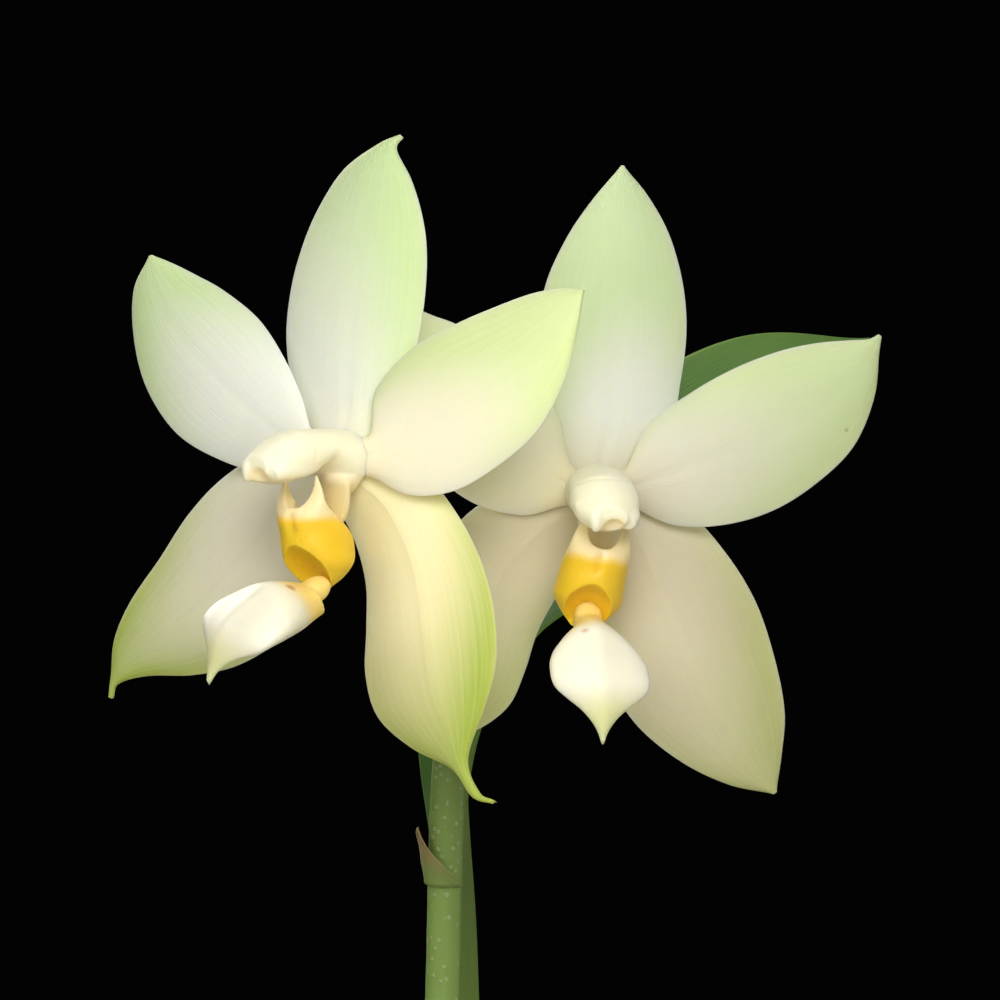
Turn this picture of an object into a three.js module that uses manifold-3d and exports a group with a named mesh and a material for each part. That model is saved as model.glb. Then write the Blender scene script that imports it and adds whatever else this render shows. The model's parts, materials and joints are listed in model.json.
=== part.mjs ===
// A moth orchid of the pale, unspotted kind, in flower in a clay pot.
// Units are millimetres. +Z is up, and the origin is the middle of the pot's flat foot.
// The two blooms face -Y. Leaves grow in two ranks, to the left (-X) and to the right (+X).

import * as THREE from "three";
import { mergeVertices } from "three/addons/utils/BufferGeometryUtils.js";
import Module from "manifold-3d";

const wasm = await Module();
wasm.setup();

const MERGE = 1e-3; // vertices nearer than this are one
const STEP = 1e-3; // share of a surface's length over which its slope is taken

// Clearances and wall thicknesses
const GAP = 0.35; // between neighbours that touch on the real plant
const TEPAL_THICK = 0.9;
const TEPAL_WIDTH = 13; // width at which a tepal has its full bow
const LEAF_THICK = 2.0;

// Clay pot
const POT = {
  height: 92,
  footRadius: 38,
  topRadius: 54,
  rimHeight: 20,
  rimProud: 4,
  rimStep: 0.5,
  rimFlare: 0.8,
  wall: 5,
  floor: 7,
  edge: 1.5,
  holeRadius: 5,
  holeRing: 21,
  holes: 5,
  holeSides: 12,
  sides: 40,
};

// Bark the roots grow in: a filling that is heaped a little in the middle, and the chips on it
const BARK = {
  edge: 78,
  shoulder: [30, 81],
  middle: 82,
  sides: 32,
  chips: 36,
  chipSize: [9, 15, 4.5],
  chipEdge: 80,
  chipStray: 0.8,
  chipTilt: 0.35,
  seed: 7,
};

// Short stem that carries the leaves, as radius and height from foot to top. Each step is the seat
// of a pair of leaves.
const STEM = {
  profile: [
    [3, 68], [5.4, 70], [5.6, 86], [9.2, 88.5], [9.8, 91], [9.7, 96], [7.1, 97.5], [7, 103],
    [4.5, 104.5], [4.3, 111], [2.6, 113],
  ],
  sides: 16,
};

// Where an eye in front of the blooms stands. The outlines of the blooms are as that eye sees them
// on the plane y = EYE.plane, and a point further back is spread so that its outline stays true.
const EYE = { x: 8, z: 225, plane: -55, distance: 450 };

const mix = (a, b, t) => a + (b - a) * t;
const clamp = (v, lo, hi) => Math.min(hi, Math.max(lo, v));
const rad = THREE.MathUtils.degToRad;

// A value on the smooth curve through evenly spaced values, at t from 0 to 1.
function smooth(values, t) {
  const last = values.length - 1;
  const i = clamp(Math.floor(t * last), 0, last - 1);
  const u = t * last - i;
  const at = (k) => {
    if (k < 0) return 2 * values[0] - values[1];
    if (k > last) return 2 * values[last] - values[last - 1];
    return values[k];
  };
  const [a, b, c, d] = [at(i - 1), at(i), at(i + 1), at(i + 2)];
  return (
    b + 0.5 * u * (c - a + u * (2 * a - 5 * b + 4 * c - d + u * (3 * (b - c) + d - a)))
  );
}

// A point on the smooth curve through evenly spaced points.
function smoothPoint(points, t) {
  return points[0].map((_, axis) => smooth(points.map((p) => p[axis]), t));
}

// A repeatable stream of numbers from 0 to 1.
function seeded(seed) {
  let state = seed;
  return () => {
    state = (state * 1664525 + 1013904223) % 4294967296;
    return state / 4294967296;
  };
}

function solidOf(geometry) {
  const bare = new THREE.BufferGeometry();
  bare.setAttribute("position", geometry.getAttribute("position").clone());
  if (geometry.index) bare.setIndex(geometry.index.clone());
  const merged = mergeVertices(bare, MERGE);
  return new wasm.Manifold(
    new wasm.Mesh({
      numProp: 3,
      vertProperties: new Float32Array(merged.attributes.position.array),
      triVerts: new Uint32Array(merged.index.array),
    }),
  );
}

function geometryOf(solid) {
  const mesh = solid.getMesh();
  const positions = new Float32Array(mesh.numVert * 3);
  for (let i = 0; i < mesh.numVert; i++) {
    for (let axis = 0; axis < 3; axis++) {
      positions[i * 3 + axis] = mesh.vertProperties[i * mesh.numProp + axis];
    }
  }
  const geometry = new THREE.BufferGeometry();
  geometry.setAttribute("position", new THREE.BufferAttribute(positions, 3));
  geometry.setIndex(new THREE.BufferAttribute(new Uint32Array(mesh.triVerts), 1));
  geometry.computeVertexNormals();
  return geometry;
}

// The largest body of a solid, so that a cut leaves no loose scrap.
function largest(solid) {
  const bodies = solid.decompose();
  return bodies.reduce((a, b) => (b.volume() > a.volume() ? b : a));
}

function indexed(points, triangles) {
  const geometry = new THREE.BufferGeometry();
  geometry.setAttribute("position", new THREE.Float32BufferAttribute(points.flat(), 3));
  geometry.setIndex(triangles.flat());
  geometry.computeVertexNormals();
  return geometry;
}

// A closed blade: surface(t, s) is its middle surface, with t from base to tip and s from -1 to 1
// across. thick(t, s) is its thickness. Both faces are split alike, so they never cross.
function blade(surface, thick, rows, columns) {
  const front = [];
  const back = [];
  for (let i = 0; i <= rows; i++) {
    for (let j = 0; j <= columns; j++) {
      const t = i / rows;
      const s = (2 * j) / columns - 1;
      const tLow = Math.max(0, t - STEP);
      const tHigh = Math.min(1, t + STEP);
      const sLow = Math.max(-1, s - STEP);
      const sHigh = Math.min(1, s + STEP);
      const along = new THREE.Vector3(...surface(tHigh, s)).sub(
        new THREE.Vector3(...surface(tLow, s)),
      );
      const across = new THREE.Vector3(...surface(t, sHigh)).sub(
        new THREE.Vector3(...surface(t, sLow)),
      );
      const normal = across.cross(along).normalize();
      const middle = new THREE.Vector3(...surface(t, s));
      const half = thick(t, s) / 2;
      front.push(middle.clone().addScaledVector(normal, half).toArray());
      back.push(middle.clone().addScaledVector(normal, -half).toArray());
    }
  }
  const across = columns + 1;
  const count = front.length;
  const triangles = [];
  for (let i = 0; i < rows; i++) {
    for (let j = 0; j < columns; j++) {
      const a = i * across + j;
      const b = a + 1;
      const c = a + across;
      const d = c + 1;
      triangles.push([a, b, d], [a, d, c]);
      triangles.push([a + count, d + count, b + count], [a + count, c + count, d + count]);
    }
  }
  const rim = [];
  for (let j = 0; j < columns; j++) rim.push(j);
  for (let i = 0; i < rows; i++) rim.push(i * across + columns);
  for (let j = columns; j > 0; j--) rim.push(rows * across + j);
  for (let i = rows; i > 0; i--) rim.push(i * across);
  rim.forEach((a, k) => {
    const b = rim[(k + 1) % rim.length];
    triangles.push([a, a + count, b + count], [a, b + count, b]);
  });
  return indexed([...front, ...back], triangles);
}

// A closed skin over rings of points, each ring running the same way, with a point at each end.
function skin(rings, startPole, endPole) {
  const sides = rings[0].length;
  const points = [...rings.flat(), startPole, endPole];
  const start = rings.length * sides;
  const end = start + 1;
  const triangles = [];
  for (let k = 0; k < sides; k++) {
    const next = (k + 1) % sides;
    triangles.push([start, next, k]);
    triangles.push([end, (rings.length - 1) * sides + k, (rings.length - 1) * sides + next]);
    for (let i = 0; i < rings.length - 1; i++) {
      const a = i * sides + k;
      const b = i * sides + next;
      triangles.push([a, b, b + sides], [a, b + sides, a + sides]);
    }
  }
  return indexed(points, triangles);
}

// A round shoot along a smooth path, its radius following evenly spaced values.
function shoot(path, radii, steps, sides) {
  const curve = new THREE.CatmullRomCurve3(path.map((p) => new THREE.Vector3(...p)));
  const frames = curve.computeFrenetFrames(steps, false);
  const rings = [];
  for (let i = 0; i <= steps; i++) {
    const t = i / steps;
    const centre = curve.getPointAt(t);
    const radius = smooth(radii, t);
    const ring = [];
    for (let k = 0; k < sides; k++) {
      const turn = (k / sides) * 2 * Math.PI;
      ring.push(
        centre
          .clone()
          .addScaledVector(frames.normals[i], Math.cos(turn) * radius)
          .addScaledVector(frames.binormals[i], Math.sin(turn) * radius)
          .toArray(),
      );
    }
    rings.push(ring);
  }
  return skin(rings, curve.getPointAt(0).toArray(), curve.getPointAt(1).toArray());
}

const FINISH = {
  clay: { color: 0xb5653f, roughness: 0.85 },
  bark: { color: 0x5a3b25, roughness: 0.9 },
  stem: { color: 0x7d8a4a, roughness: 0.6 },
  root: { color: 0xa9b09a, roughness: 0.8 },
  leaf: { color: 0x4f8a35, roughness: 0.35 },
  spike: { color: 0x6f9a4a, roughness: 0.5 },
  tepal: { color: 0xe9ecd6, roughness: 0.45 },
  cream: { color: 0xfdf8e2, roughness: 0.4 },
  yellow: { color: 0xf0c32c, roughness: 0.4 },
  white: { color: 0xfffdf4, roughness: 0.4 },
};
const materials = Object.fromEntries(
  Object.entries(FINISH).map(([name, finish]) => [
    name,
    new THREE.MeshStandardMaterial({ ...finish, metalness: 0, name }),
  ]),
);

function named(name, geometry, finish) {
  const mesh = new THREE.Mesh(geometry, materials[finish]);
  mesh.name = name;
  return mesh;
}

// Pot: a flat foot with drain holes, a tapering wall and a thicker rim
const rimFoot = POT.height - POT.rimHeight;
const wallSlope = (POT.topRadius - POT.footRadius) / POT.height;
const outerAt = (z) => POT.footRadius + wallSlope * z;
const innerAt = (z) => outerAt(z) - POT.wall;

function potGeometry() {
  const rimRadius = POT.topRadius + POT.rimProud;
  const e = POT.edge;
  const profile = [
    [0, 0],
    [POT.footRadius - e, 0],
    [POT.footRadius, e],
    [outerAt(rimFoot), rimFoot],
    [rimRadius - e, rimFoot + POT.rimStep],
    [rimRadius, rimFoot + e + POT.rimStep],
    [rimRadius + POT.rimFlare, POT.height - e],
    [rimRadius + POT.rimFlare - e, POT.height],
    [innerAt(POT.height) + e, POT.height],
    [innerAt(POT.height), POT.height - e],
    [innerAt(POT.floor), POT.floor],
    [0, POT.floor],
  ].map(([r, z]) => new THREE.Vector2(r, z));
  const body = new THREE.LatheGeometry(profile, POT.sides).rotateX(Math.PI / 2);
  let pot = solidOf(body);
  for (let i = 0; i < POT.holes; i++) {
    const turn = (i / POT.holes) * 2 * Math.PI;
    const drill = new THREE.CylinderGeometry(
      POT.holeRadius, POT.holeRadius, POT.floor * 3, POT.holeSides,
    );
    drill.rotateX(Math.PI / 2);
    drill.translate(Math.cos(turn) * POT.holeRing, Math.sin(turn) * POT.holeRing, 0);
    pot = pot.subtract(solidOf(drill));
  }
  return geometryOf(pot);
}

// Stem, stepped where old leaves have left it
function stemGeometry(extra = 0) {
  const foot = STEM.profile[0][1];
  const top = STEM.profile[STEM.profile.length - 1][1];
  const profile = [
    [0, foot - extra],
    ...STEM.profile.map(([r, z]) => [r + extra, z]),
    [0, top + extra],
  ].map(([r, z]) => new THREE.Vector2(r, z));
  return new THREE.LatheGeometry(profile, STEM.sides).rotateX(Math.PI / 2);
}

// Roots: thick, from a collar round the stem, over the bark and, for one, over the rim
const ROOT_COLLAR = { z: 82.5, inner: 5.2, outer: 8.6, half: 2.6 };
const ROOT_PATHS = [
  [[7, -2, 82.5], [20, -14, 87], [33, -24, 92], [46, -34, 98.5], [55, -41, 96], [56.5, -43, 84],
    [52.5, -42, 68], [46, -40, 50]],
  [[-6, -4, 82.5], [-16, -16, 87.5], [-27, -22, 88], [-36, -19, 84], [-40, -11, 78]],
  [[-6, 3, 82.5], [-17, 10, 87.5], [-29, 19, 89.5], [-36, 26, 92.5], [-46, 36, 99], [-53.5, 42, 94.5],
    [-54.5, 43.5, 82], [-51, 42, 66]],
  [[2, 7, 82.5], [6, 19, 87.5], [15, 30, 88], [24, 31, 84], [29, 27, 77]],
  [[6, 4, 82.5], [18, 9, 87.5], [30, 10, 87], [38, 7, 82], [40, 5, 75]],
  [[-1, -7, 82.5], [-4, -18, 87.5], [2, -28, 88], [11, -34, 84], [16, -36, 77]],
];
const ROOT_RADII = [2.7, 2.9, 2.7, 2.5, 2.2, 1.3];

function rootsSolid(extra = 0) {
  const c = ROOT_COLLAR;
  const ring = new THREE.LatheGeometry(
    [
      [c.inner - extra, c.z - c.half - extra],
      [c.outer + extra, c.z - c.half - extra],
      [c.outer + extra, c.z + c.half + extra],
      [c.inner - extra, c.z + c.half + extra],
      [c.inner - extra, c.z - c.half - extra],
    ].map(([r, z]) => new THREE.Vector2(r, z)),
    18,
  ).rotateX(Math.PI / 2);
  let all = solidOf(ring);
  for (const path of ROOT_PATHS) {
    const radii = ROOT_RADII.map((r) => r + extra);
    all = all.add(solidOf(shoot(path, radii, path.length * 2, 7)));
  }
  return all.subtract(solidOf(stemGeometry(GAP)));
}

// Bark: a filled pot, with seeded chips standing proud of the top
function barkGeometry() {
  const low = POT.floor + GAP;
  const profile = [
    [0, low],
    [innerAt(low) - GAP, low],
    [innerAt(BARK.edge) - GAP, BARK.edge],
    BARK.shoulder,
    [0, BARK.middle],
  ].map(([r, z]) => new THREE.Vector2(r, z));
  const body = new THREE.LatheGeometry(profile, BARK.sides).rotateX(Math.PI / 2);
  let bark = solidOf(body);
  const random = seeded(BARK.seed);
  const golden = Math.PI * (3 - Math.sqrt(5));
  const reach = innerAt(BARK.edge) - BARK.chipSize[1] * 0.65;
  for (let i = 0; i < BARK.chips; i++) {
    const r = reach * Math.sqrt((i + 0.5) / BARK.chips);
    const turn = i * golden;
    const size = BARK.chipSize.map((edge) => edge * mix(0.75, 1.15, random()));
    const chip = new THREE.BoxGeometry(...size);
    chip.rotateX(mix(-BARK.chipTilt, BARK.chipTilt, random()));
    chip.rotateY(mix(-BARK.chipTilt, BARK.chipTilt, random()));
    chip.rotateZ(random() * Math.PI);
    const top = mix(BARK.middle, BARK.chipEdge, r / reach);
    const stray = mix(-BARK.chipStray, BARK.chipStray, random());
    chip.translate(Math.cos(turn) * r, Math.sin(turn) * r, top + stray);
    bark = bark.add(solidOf(chip));
  }
  bark = bark.subtract(rootsSolid(GAP)).subtract(solidOf(stemGeometry(GAP)));
  return geometryOf(largest(bark));
}

// Leaves: midrib points from base to tip, half widths, and the radius of the channel across them.
// A leaf's base clasps the stem, so its channel starts as a half ring.
const LEAVES = [
  {
    name: "leaf_right_low",
    side: 1,
    midrib: [[11.2, 0, 91], [15, 0, 109], [36, -2, 125], [70, -3, 123], [102, -4, 100], [122, -6, 70]],
    half: [11.5, 13, 26, 35, 33, 21, 1.6],
    channel: [11.2, 13, 60, 110, 140, 160],
    roll: [0, 0, -6, -9, -6, -4],
  },
  {
    name: "leaf_left_low",
    side: -1,
    midrib: [[-11.2, 0, 92], [-15, 0, 109], [-34, -3, 126], [-66, -6, 127], [-98, -8, 108],
      [-122, -10, 78]],
    half: [11.5, 13, 25, 34, 32, 21, 1.6],
    channel: [11.2, 13, 60, 110, 140, 160],
    roll: [0, 0, 4, 8, 6, 4],
  },
  {
    name: "leaf_right_high",
    side: 1,
    midrib: [[8.4, 0, 98.5], [12, 0.5, 118], [31, 4, 139], [62, 8, 143], [94, 13, 129], [117, 18, 103]],
    half: [8.8, 11, 22, 31, 30, 19, 1.6],
    channel: [8.4, 11, 50, 90, 120, 140],
    roll: [0, 0, 8, 12, 9, 6],
  },
  {
    name: "leaf_left_high",
    side: -1,
    midrib: [[-8.4, 0, 99.5], [-12, 0.5, 118], [-30, 3, 140], [-60, 6, 147], [-92, 9, 135],
      [-118, 12, 111]],
    half: [8.8, 11, 22, 32, 31, 20, 1.6],
    channel: [8.4, 11, 50, 90, 120, 140],
    roll: [0, 0, -8, -14, -10, -6],
  },
  {
    name: "leaf_upright",
    side: 1,
    midrib: [[5.8, 0, 106], [4.6, 2, 140], [3.6, 5, 172], [2.6, 8, 198], [8.6, 10, 211.8],
      [22.4, 12, 223.8], [40, 12, 236.7], [52.6, 12, 243.6]],
    half: [6, 7.5, 9.5, 13, 16.6, 18.4, 16.4, 1.6],
    channel: [5.8, 7, 12, 30, 60, 80, 90, 90],
    roll: [0, 0, 0, 8, 26, 32, 30, 30],
  },
];

function leafSurface(leaf) {
  return (t, s) => {
    const centre = new THREE.Vector3(...smoothPoint(leaf.midrib, t));
    const ahead = new THREE.Vector3(...smoothPoint(leaf.midrib, Math.min(1, t + STEP)));
    const behind = new THREE.Vector3(...smoothPoint(leaf.midrib, Math.max(0, t - STEP)));
    const along = ahead.sub(behind).normalize();
    const across = new THREE.Vector3(0, -leaf.side, 0);
    across.addScaledVector(along, -across.dot(along)).normalize();
    const roll = rad(smooth(leaf.roll, t));
    across.applyAxisAngle(along, roll);
    const up = along.clone().cross(across).multiplyScalar(-1);
    const radius = smooth(leaf.channel, t);
    const turn = (s * smooth(leaf.half, t)) / radius;
    return centre
      .addScaledVector(across, radius * Math.sin(turn))
      .addScaledVector(up, radius * (1 - Math.cos(turn)))
      .toArray();
  };
}

function leafGeometry(leaf) {
  const thick = (t, s) => LEAF_THICK * mix(1, 0.45, Math.abs(s) ** 3) * mix(1, 0.6, t ** 4);
  return blade(leafSurface(leaf), thick, 16, 6);
}

// Flower spike: a stalk from the stem's side, the jointed axis above it, and its bracts, each
// with the place it grows from and the way it leans
const SPIKE = {
  path: [
    [0, -11.4, 91.5], [0, -17, 97], [0, -21, 114], [0.6, -24, 141], [1.6, -27, 169],
    [2.4, -30, 195], [4.6, -33, 210], [9, -35.5, 222], [9, -34, 232], [12, -31.5, 240],
  ],
  radii: [1.4, 2.0, 2.1, 2.0, 1.9, 1.9, 2.0, 2.2, 1.9, 1.0],
  bracts: [
    [[0, -20.6, 112], [0.3, -0.9, 0.7]],
    [[0.7, -24.4, 144], [-0.9, -0.2, 0.7]],
    [[1.9, -28.4, 180], [0.8, 0.3, 0.9]],
    [[5.4, -33.4, 212], [0.6, 0.8, 0.5]],
    [[9, -34.4, 229.5], [-0.5, 0.9, 0.6]],
    [[11.4, -32, 238], [-0.2, 0.5, 0.9]],
  ],
};

function spikeSolid(extra = 0) {
  const radii = SPIKE.radii.map((r) => r + extra);
  let spike = solidOf(shoot(SPIKE.path, radii, 26, 8));
  for (const [[x, y, z], lean] of SPIKE.bracts) {
    const tip = new THREE.Vector3(...lean).normalize();
    const path = [0, 2.2, 4.4, 6].map((reach, i) => [
      x + tip.x * reach,
      y + tip.y * reach,
      z + tip.z * reach + i * 0.35,
    ]);
    const girth = [1.6, 1.9, 1.2, 0.35].map((r) => r + extra);
    spike = spike.add(solidOf(shoot(path, girth, 4, 6)));
  }
  return spike;
}

// Blooms. left and right are a tepal's two edges from base to tip, as x and z from the bloom's
// centre. depth is how far its midrib lies behind the centre, bow how far its edges lie behind the
// midrib, and lean how much further back its right edge lies than its left. tilt is how much
// nearer the eye the bloom's right side comes for each millimetre. Column, tub and lobe have their
// turns in degrees, as pitch, twist and yaw, and their places from the bloom's centre.
const BLOOMS = [
  {
    name: "left_bloom",
    x: -16, z: 4.5, y: -60,
    tilt: -0.62,
    column: { turn: [1, 0, -44], at: [0, 0.4, 0.3] },
    tub: { turn: [0, 0, -46], at: [-4.7, -4.5, -3.2] },
    lobe: { turn: [30, 24, -46], at: [-3.2, -3.6, -13.6] },
    pedicel: [[0, 2.6, 0], [0.6, 6.5, -1], [4, 13, -5], [9, 21, -11.5], [13.4, 26.6, -17]],
    tepals: {
      dorsal_sepal: {
        left: [[-2.2, 3], [-4.9, 7], [-6.2, 11.8], [-5.9, 16.4],
          [-4.9, 20.8], [-3.1, 25.4], [-0.3, 30], [4.2, 33]],
        right: [[1.8, 3.6], [5.4, 6.6], [7.4, 11.4], [8.2, 16.6],
          [8.4, 21.4], [7.7, 25.6], [6.4, 29.2], [5.6, 32.4]],
        depth: [1.6, 2.2, 2.4, 2.2, 2.6, 3.6, 4.6],
        bow: 1.3,
        lean: -0.4,
      },
      petal_left: {
        left: [[-3.4, -1.6], [-8.6, -1.7], [-13.4, -0.2], [-17.6, 2.4],
          [-20.6, 6.8], [-22, 11.8], [-22, 16.6], [-20.9, 20]],
        right: [[-3.2, 2.2], [-4.6, 6.2], [-6.4, 10.2], [-9, 14.2],
          [-12.6, 17.2], [-16, 19.2], [-18.4, 20.3], [-19.6, 20.9]],
        depth: [0.2, 0.6, 0.6, 0.8, 1.6, 2.6, 3.2],
        bow: 1.4,
        lean: 0.3,
      },
      petal_right: {
        left: [[2.7, 2.6], [3, 6.8], [6.8, 11.2], [11.4, 13.8],
          [15.8, 15.7], [19.4, 17], [22.4, 17.5], [24.3, 17.5]],
        right: [[2.8, -2.2], [6.6, -4], [11.4, -3.5], [16, -0.8],
          [19.8, 2.6], [22.4, 7.2], [23.8, 12.2], [24.8, 16.6]],
        depth: [0.2, -0.2, -0.4, -0.6, -0.4, 0, 0.4],
        bow: 1.2,
        lean: -0.5,
      },
      lateral_sepal_left: {
        left: [[-3, -1.8], [-8.2, -0.6], [-12.8, -2.2], [-16.4, -6],
          [-19.4, -10.6], [-22.4, -15], [-24.3, -19.2], [-24.8, -24.2]],
        right: [[-0.6, -3.6], [-1.2, -8.4], [-2.8, -13.8], [-6.4, -18.6],
          [-11, -21.6], [-15.8, -22.7], [-21.4, -22.9], [-24.2, -24.7]],
        depth: [1.8, 2.8, 3.4, 3.6, 4, 4.8, 5.4],
        bow: 1.2,
        lean: 0.6,
      },
      lateral_sepal_right: {
        left: [[0.6, -3.6], [1.3, -9.2], [2.2, -14.6], [2, -20.2],
          [2.5, -25.8], [6.2, -29.9], [10.4, -32.3], [15.2, -36.2]],
        right: [[3.2, -2], [8.6, -3.2], [12.9, -8.2], [15, -14],
          [15.7, -20], [14.7, -25.2], [13, -29.8], [15.4, -35.4]],
        depth: [1.8, 2.2, 2.4, 2, 2, 2.4, 1.6],
        bow: 1.5,
        lean: -0.4,
      },
    },
  },
  {
    name: "right_bloom",
    x: 10, z: 1, y: -51,
    tilt: 0.1,
    column: { turn: [9, 0, 5], at: [0, 0.4, 0.4] },
    tub: { turn: [0, 9, 5], at: [0.8, -6.4, -3.9] },
    lobe: { turn: [50, 0, 9], at: [-1.2, -4.6, -13.2] },
    pedicel: [[0, 2.6, 0], [-0.3, 6.4, 0.2], [-3, 11.4, 1.2], [-6.6, 14.6, 1.8], [-9.8, 16.6, 2.4]],
    tepals: {
      dorsal_sepal: {
        left: [[-2.6, 2.8], [-4.6, 7.6], [-5.7, 12.4], [-5.9, 17],
          [-5.2, 21.6], [-3, 26.4], [-0.2, 30.4], [2.2, 33.5]],
        right: [[2, 3.2], [6.6, 7], [8.8, 11.4], [9.4, 16.6],
          [9, 21.6], [7.6, 26.6], [5.4, 30.6], [3.3, 33.5]],
        depth: [1.6, 2.2, 2.4, 2.4, 2.8, 3.8, 4.6],
        bow: 1.4,
        lean: 0.2,
      },
      petal_left: {
        left: [[-3.3, -1.6], [-7.6, -2.6], [-12.6, -1.4], [-16.6, 1.6],
          [-19.4, 5.8], [-21.2, 10.6], [-21.8, 15.4], [-21.2, 19.6]],
        right: [[-2.6, 2.8], [-4, 7.8], [-7.6, 12], [-11.4, 15.2],
          [-14.4, 17.2], [-17, 18.2], [-19.2, 19.2], [-20.4, 20.2]],
        depth: [0.2, 0.4, 0.6, 0.8, 1.4, 2.2, 2.8],
        bow: 1.3,
        lean: 0,
      },
      petal_right: {
        left: [[3, 2.4], [5.4, 6.8], [9.6, 10], [14.2, 12.6],
          [18.8, 14.4], [22.8, 15.3], [26.2, 15.6], [28.8, 16]],
        right: [[3.3, -1.6], [8, -3.6], [13.2, -3.6], [18.4, -2.1],
          [23, 0.8], [26.8, 4.6], [29, 9.8], [29.6, 15.4]],
        depth: [0.2, 0, 0, 0.2, 0.6, 1.2, 2],
        bow: 1.2,
        lean: -0.2,
      },
      lateral_sepal_left: {
        left: [[-3, -1.8], [-8.4, -1], [-12.6, -1.8], [-15.8, -5.4],
          [-17.4, -10.4], [-17.8, -15.6], [-17.2, -20.4], [-15.6, -25]],
        right: [[-0.6, -3.6], [-3.2, -7], [-5, -11.2], [-6.4, -15],
          [-7.4, -18.8], [-9, -22.3], [-11.8, -24.6], [-14.8, -25.6]],
        depth: [1.8, 2.4, 3, 3.4, 3.8, 4.4, 5],
        bow: 1.4,
        lean: 0.4,
      },
      lateral_sepal_right: {
        left: [[0.6, -3.6], [0.4, -9], [0.4, -14.8], [1.4, -19.8],
          [4.2, -24.4], [8.8, -28.2], [13.8, -30.6], [17.6, -31.6]],
        right: [[3, -1.8], [9, -2.8], [13.4, -6.4], [16.6, -11.6],
          [18.6, -17.6], [19.6, -23], [19.2, -27.4], [18.8, -31]],
        depth: [1.8, 2.2, 2.6, 2.8, 3, 3.6, 4.4],
        bow: 1.4,
        lean: -0.3,
      },
    },
  },
];

// The bloom's centre in the part's frame
function bloomCentre(bloom) {
  const spread = 1 + (bloom.y - EYE.plane) / EYE.distance;
  return [EYE.x + bloom.x * spread, bloom.y, EYE.z + bloom.z * spread];
}

function tepalSurface(bloom, tepal) {
  const centre = bloomCentre(bloom);
  return (t, s) => {
    const left = smoothPoint(tepal.left, t);
    const right = smoothPoint(tepal.right, t);
    const across = (s + 1) / 2;
    const x = mix(left[0], right[0], across);
    const z = mix(left[1], right[1], across);
    const fullness = Math.hypot(right[0] - left[0], right[1] - left[1]) / TEPAL_WIDTH;
    const bend = (tepal.bow * s * s + tepal.lean * s) * fullness;
    const y = smooth(tepal.depth, t) + bend + bloom.tilt * x;
    const spread = 1 + (bloom.y + y - EYE.plane) / EYE.distance;
    return [
      EYE.x + (bloom.x + x) * spread - centre[0],
      y,
      EYE.z + (bloom.z + z) * spread - centre[2],
    ];
  };
}

function placed(geometry, { turn: [pitch, twist, yaw], at: [x, y, z] }) {
  const turn = new THREE.Euler(rad(pitch), rad(twist), rad(yaw), "ZXY");
  geometry.applyMatrix4(new THREE.Matrix4().makeRotationFromEuler(turn));
  geometry.translate(x, y, z);
  return geometry;
}

function ball([x, y, z], [rx, ry, rz]) {
  return new THREE.SphereGeometry(1, 10, 7).scale(rx, ry, rz).translate(x, y, z);
}

// A solid over flat rings: each of the lists gives evenly spaced values along the axis
function ringed({ wide, high, rise }, steps, sides, place) {
  const rings = [];
  for (let i = 0; i <= steps; i++) {
    const t = i / steps;
    const ring = [];
    for (let k = 0; k < sides; k++) {
      const turn = (k / sides) * 2 * Math.PI;
      const a = Math.cos(turn) * smooth(wide, t);
      const b = Math.sin(turn) * smooth(high, t) + smooth(rise, t);
      ring.push(place(a, b, t));
    }
    rings.push(ring);
  }
  const pole = (t, reach) => place(0, smooth(rise, t), t + reach);
  return skin(rings, pole(0, -0.02), pole(1, 0.03));
}

// Column: a stout club that points forward from the bloom's centre. Two ears and a hollow are
// under its end, and a foot behind the lip carries the lip.
const COLUMN = {
  length: 13.4,
  wide: [3, 3.1, 3.4, 3.8, 4, 3.7, 2.4],
  high: [2.8, 2.8, 2.8, 3, 3, 2.7, 1.6],
  rise: [0, 0.2, 0.4, 0.4, 0.2, -0.1, -0.6],
  ear: { at: [2.3, -11.4, -1.7], size: [1.2, 1.7, 1.9] },
  hollow: { at: [0, -11.4, -3], size: [1.6, 3, 2] },
  foot: [[0, -1.2, -1.6], [0, -1.1, -5], [0, -1.5, -8.4]],
  footRadius: [1.7, 1.5, 1.1],
};

function columnSolid(place, extra = 0) {
  const grown = (values) => values.map((value) => value + extra);
  const club = ringed(
    { wide: grown(COLUMN.wide), high: grown(COLUMN.high), rise: COLUMN.rise },
    7, 14, (a, b, t) => [a, -t * COLUMN.length, b],
  );
  const foot = shoot(COLUMN.foot, grown(COLUMN.footRadius), 5, 8);
  let column = solidOf(placed(club, place)).add(solidOf(placed(foot, place)));
  const [ex, ey, ez] = COLUMN.ear.at;
  for (const side of [-1, 1]) {
    const ear = ball([side * ex, ey, ez], grown(COLUMN.ear.size));
    column = column.add(solidOf(placed(ear, place)));
  }
  const hollow = ball(COLUMN.hollow.at, COLUMN.hollow.size.map((size) => size - extra));
  return column.subtract(solidOf(placed(hollow, place)));
}

// Side lobes of the lip, grown together as a tub: notched into two horns at the top, hollow from
// the top down, with a pocket low in front that the middle lobe comes from. Its lists run from
// the top down.
const TUB = {
  height: 10.6,
  wide: [2.5, 2.7, 2.9, 3.3, 3.5, 3.1, 1.5],
  high: [2.4, 2.7, 3, 3.6, 3.9, 3.4, 1.8],
  rise: [0, 0.3, 1, 2.1, 2.6, 2.4, 1.9],
  notch: { at: [0, 0, 0.2], size: [1.75, 8, 2.8] },
  well: { at: [0, 0.7, -3], size: [1.7, 1.5, 3.6] },
  pocket: { at: [0, -1.5, -7.8], size: [2.6, 2.8, 1.5] },
};

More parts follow.
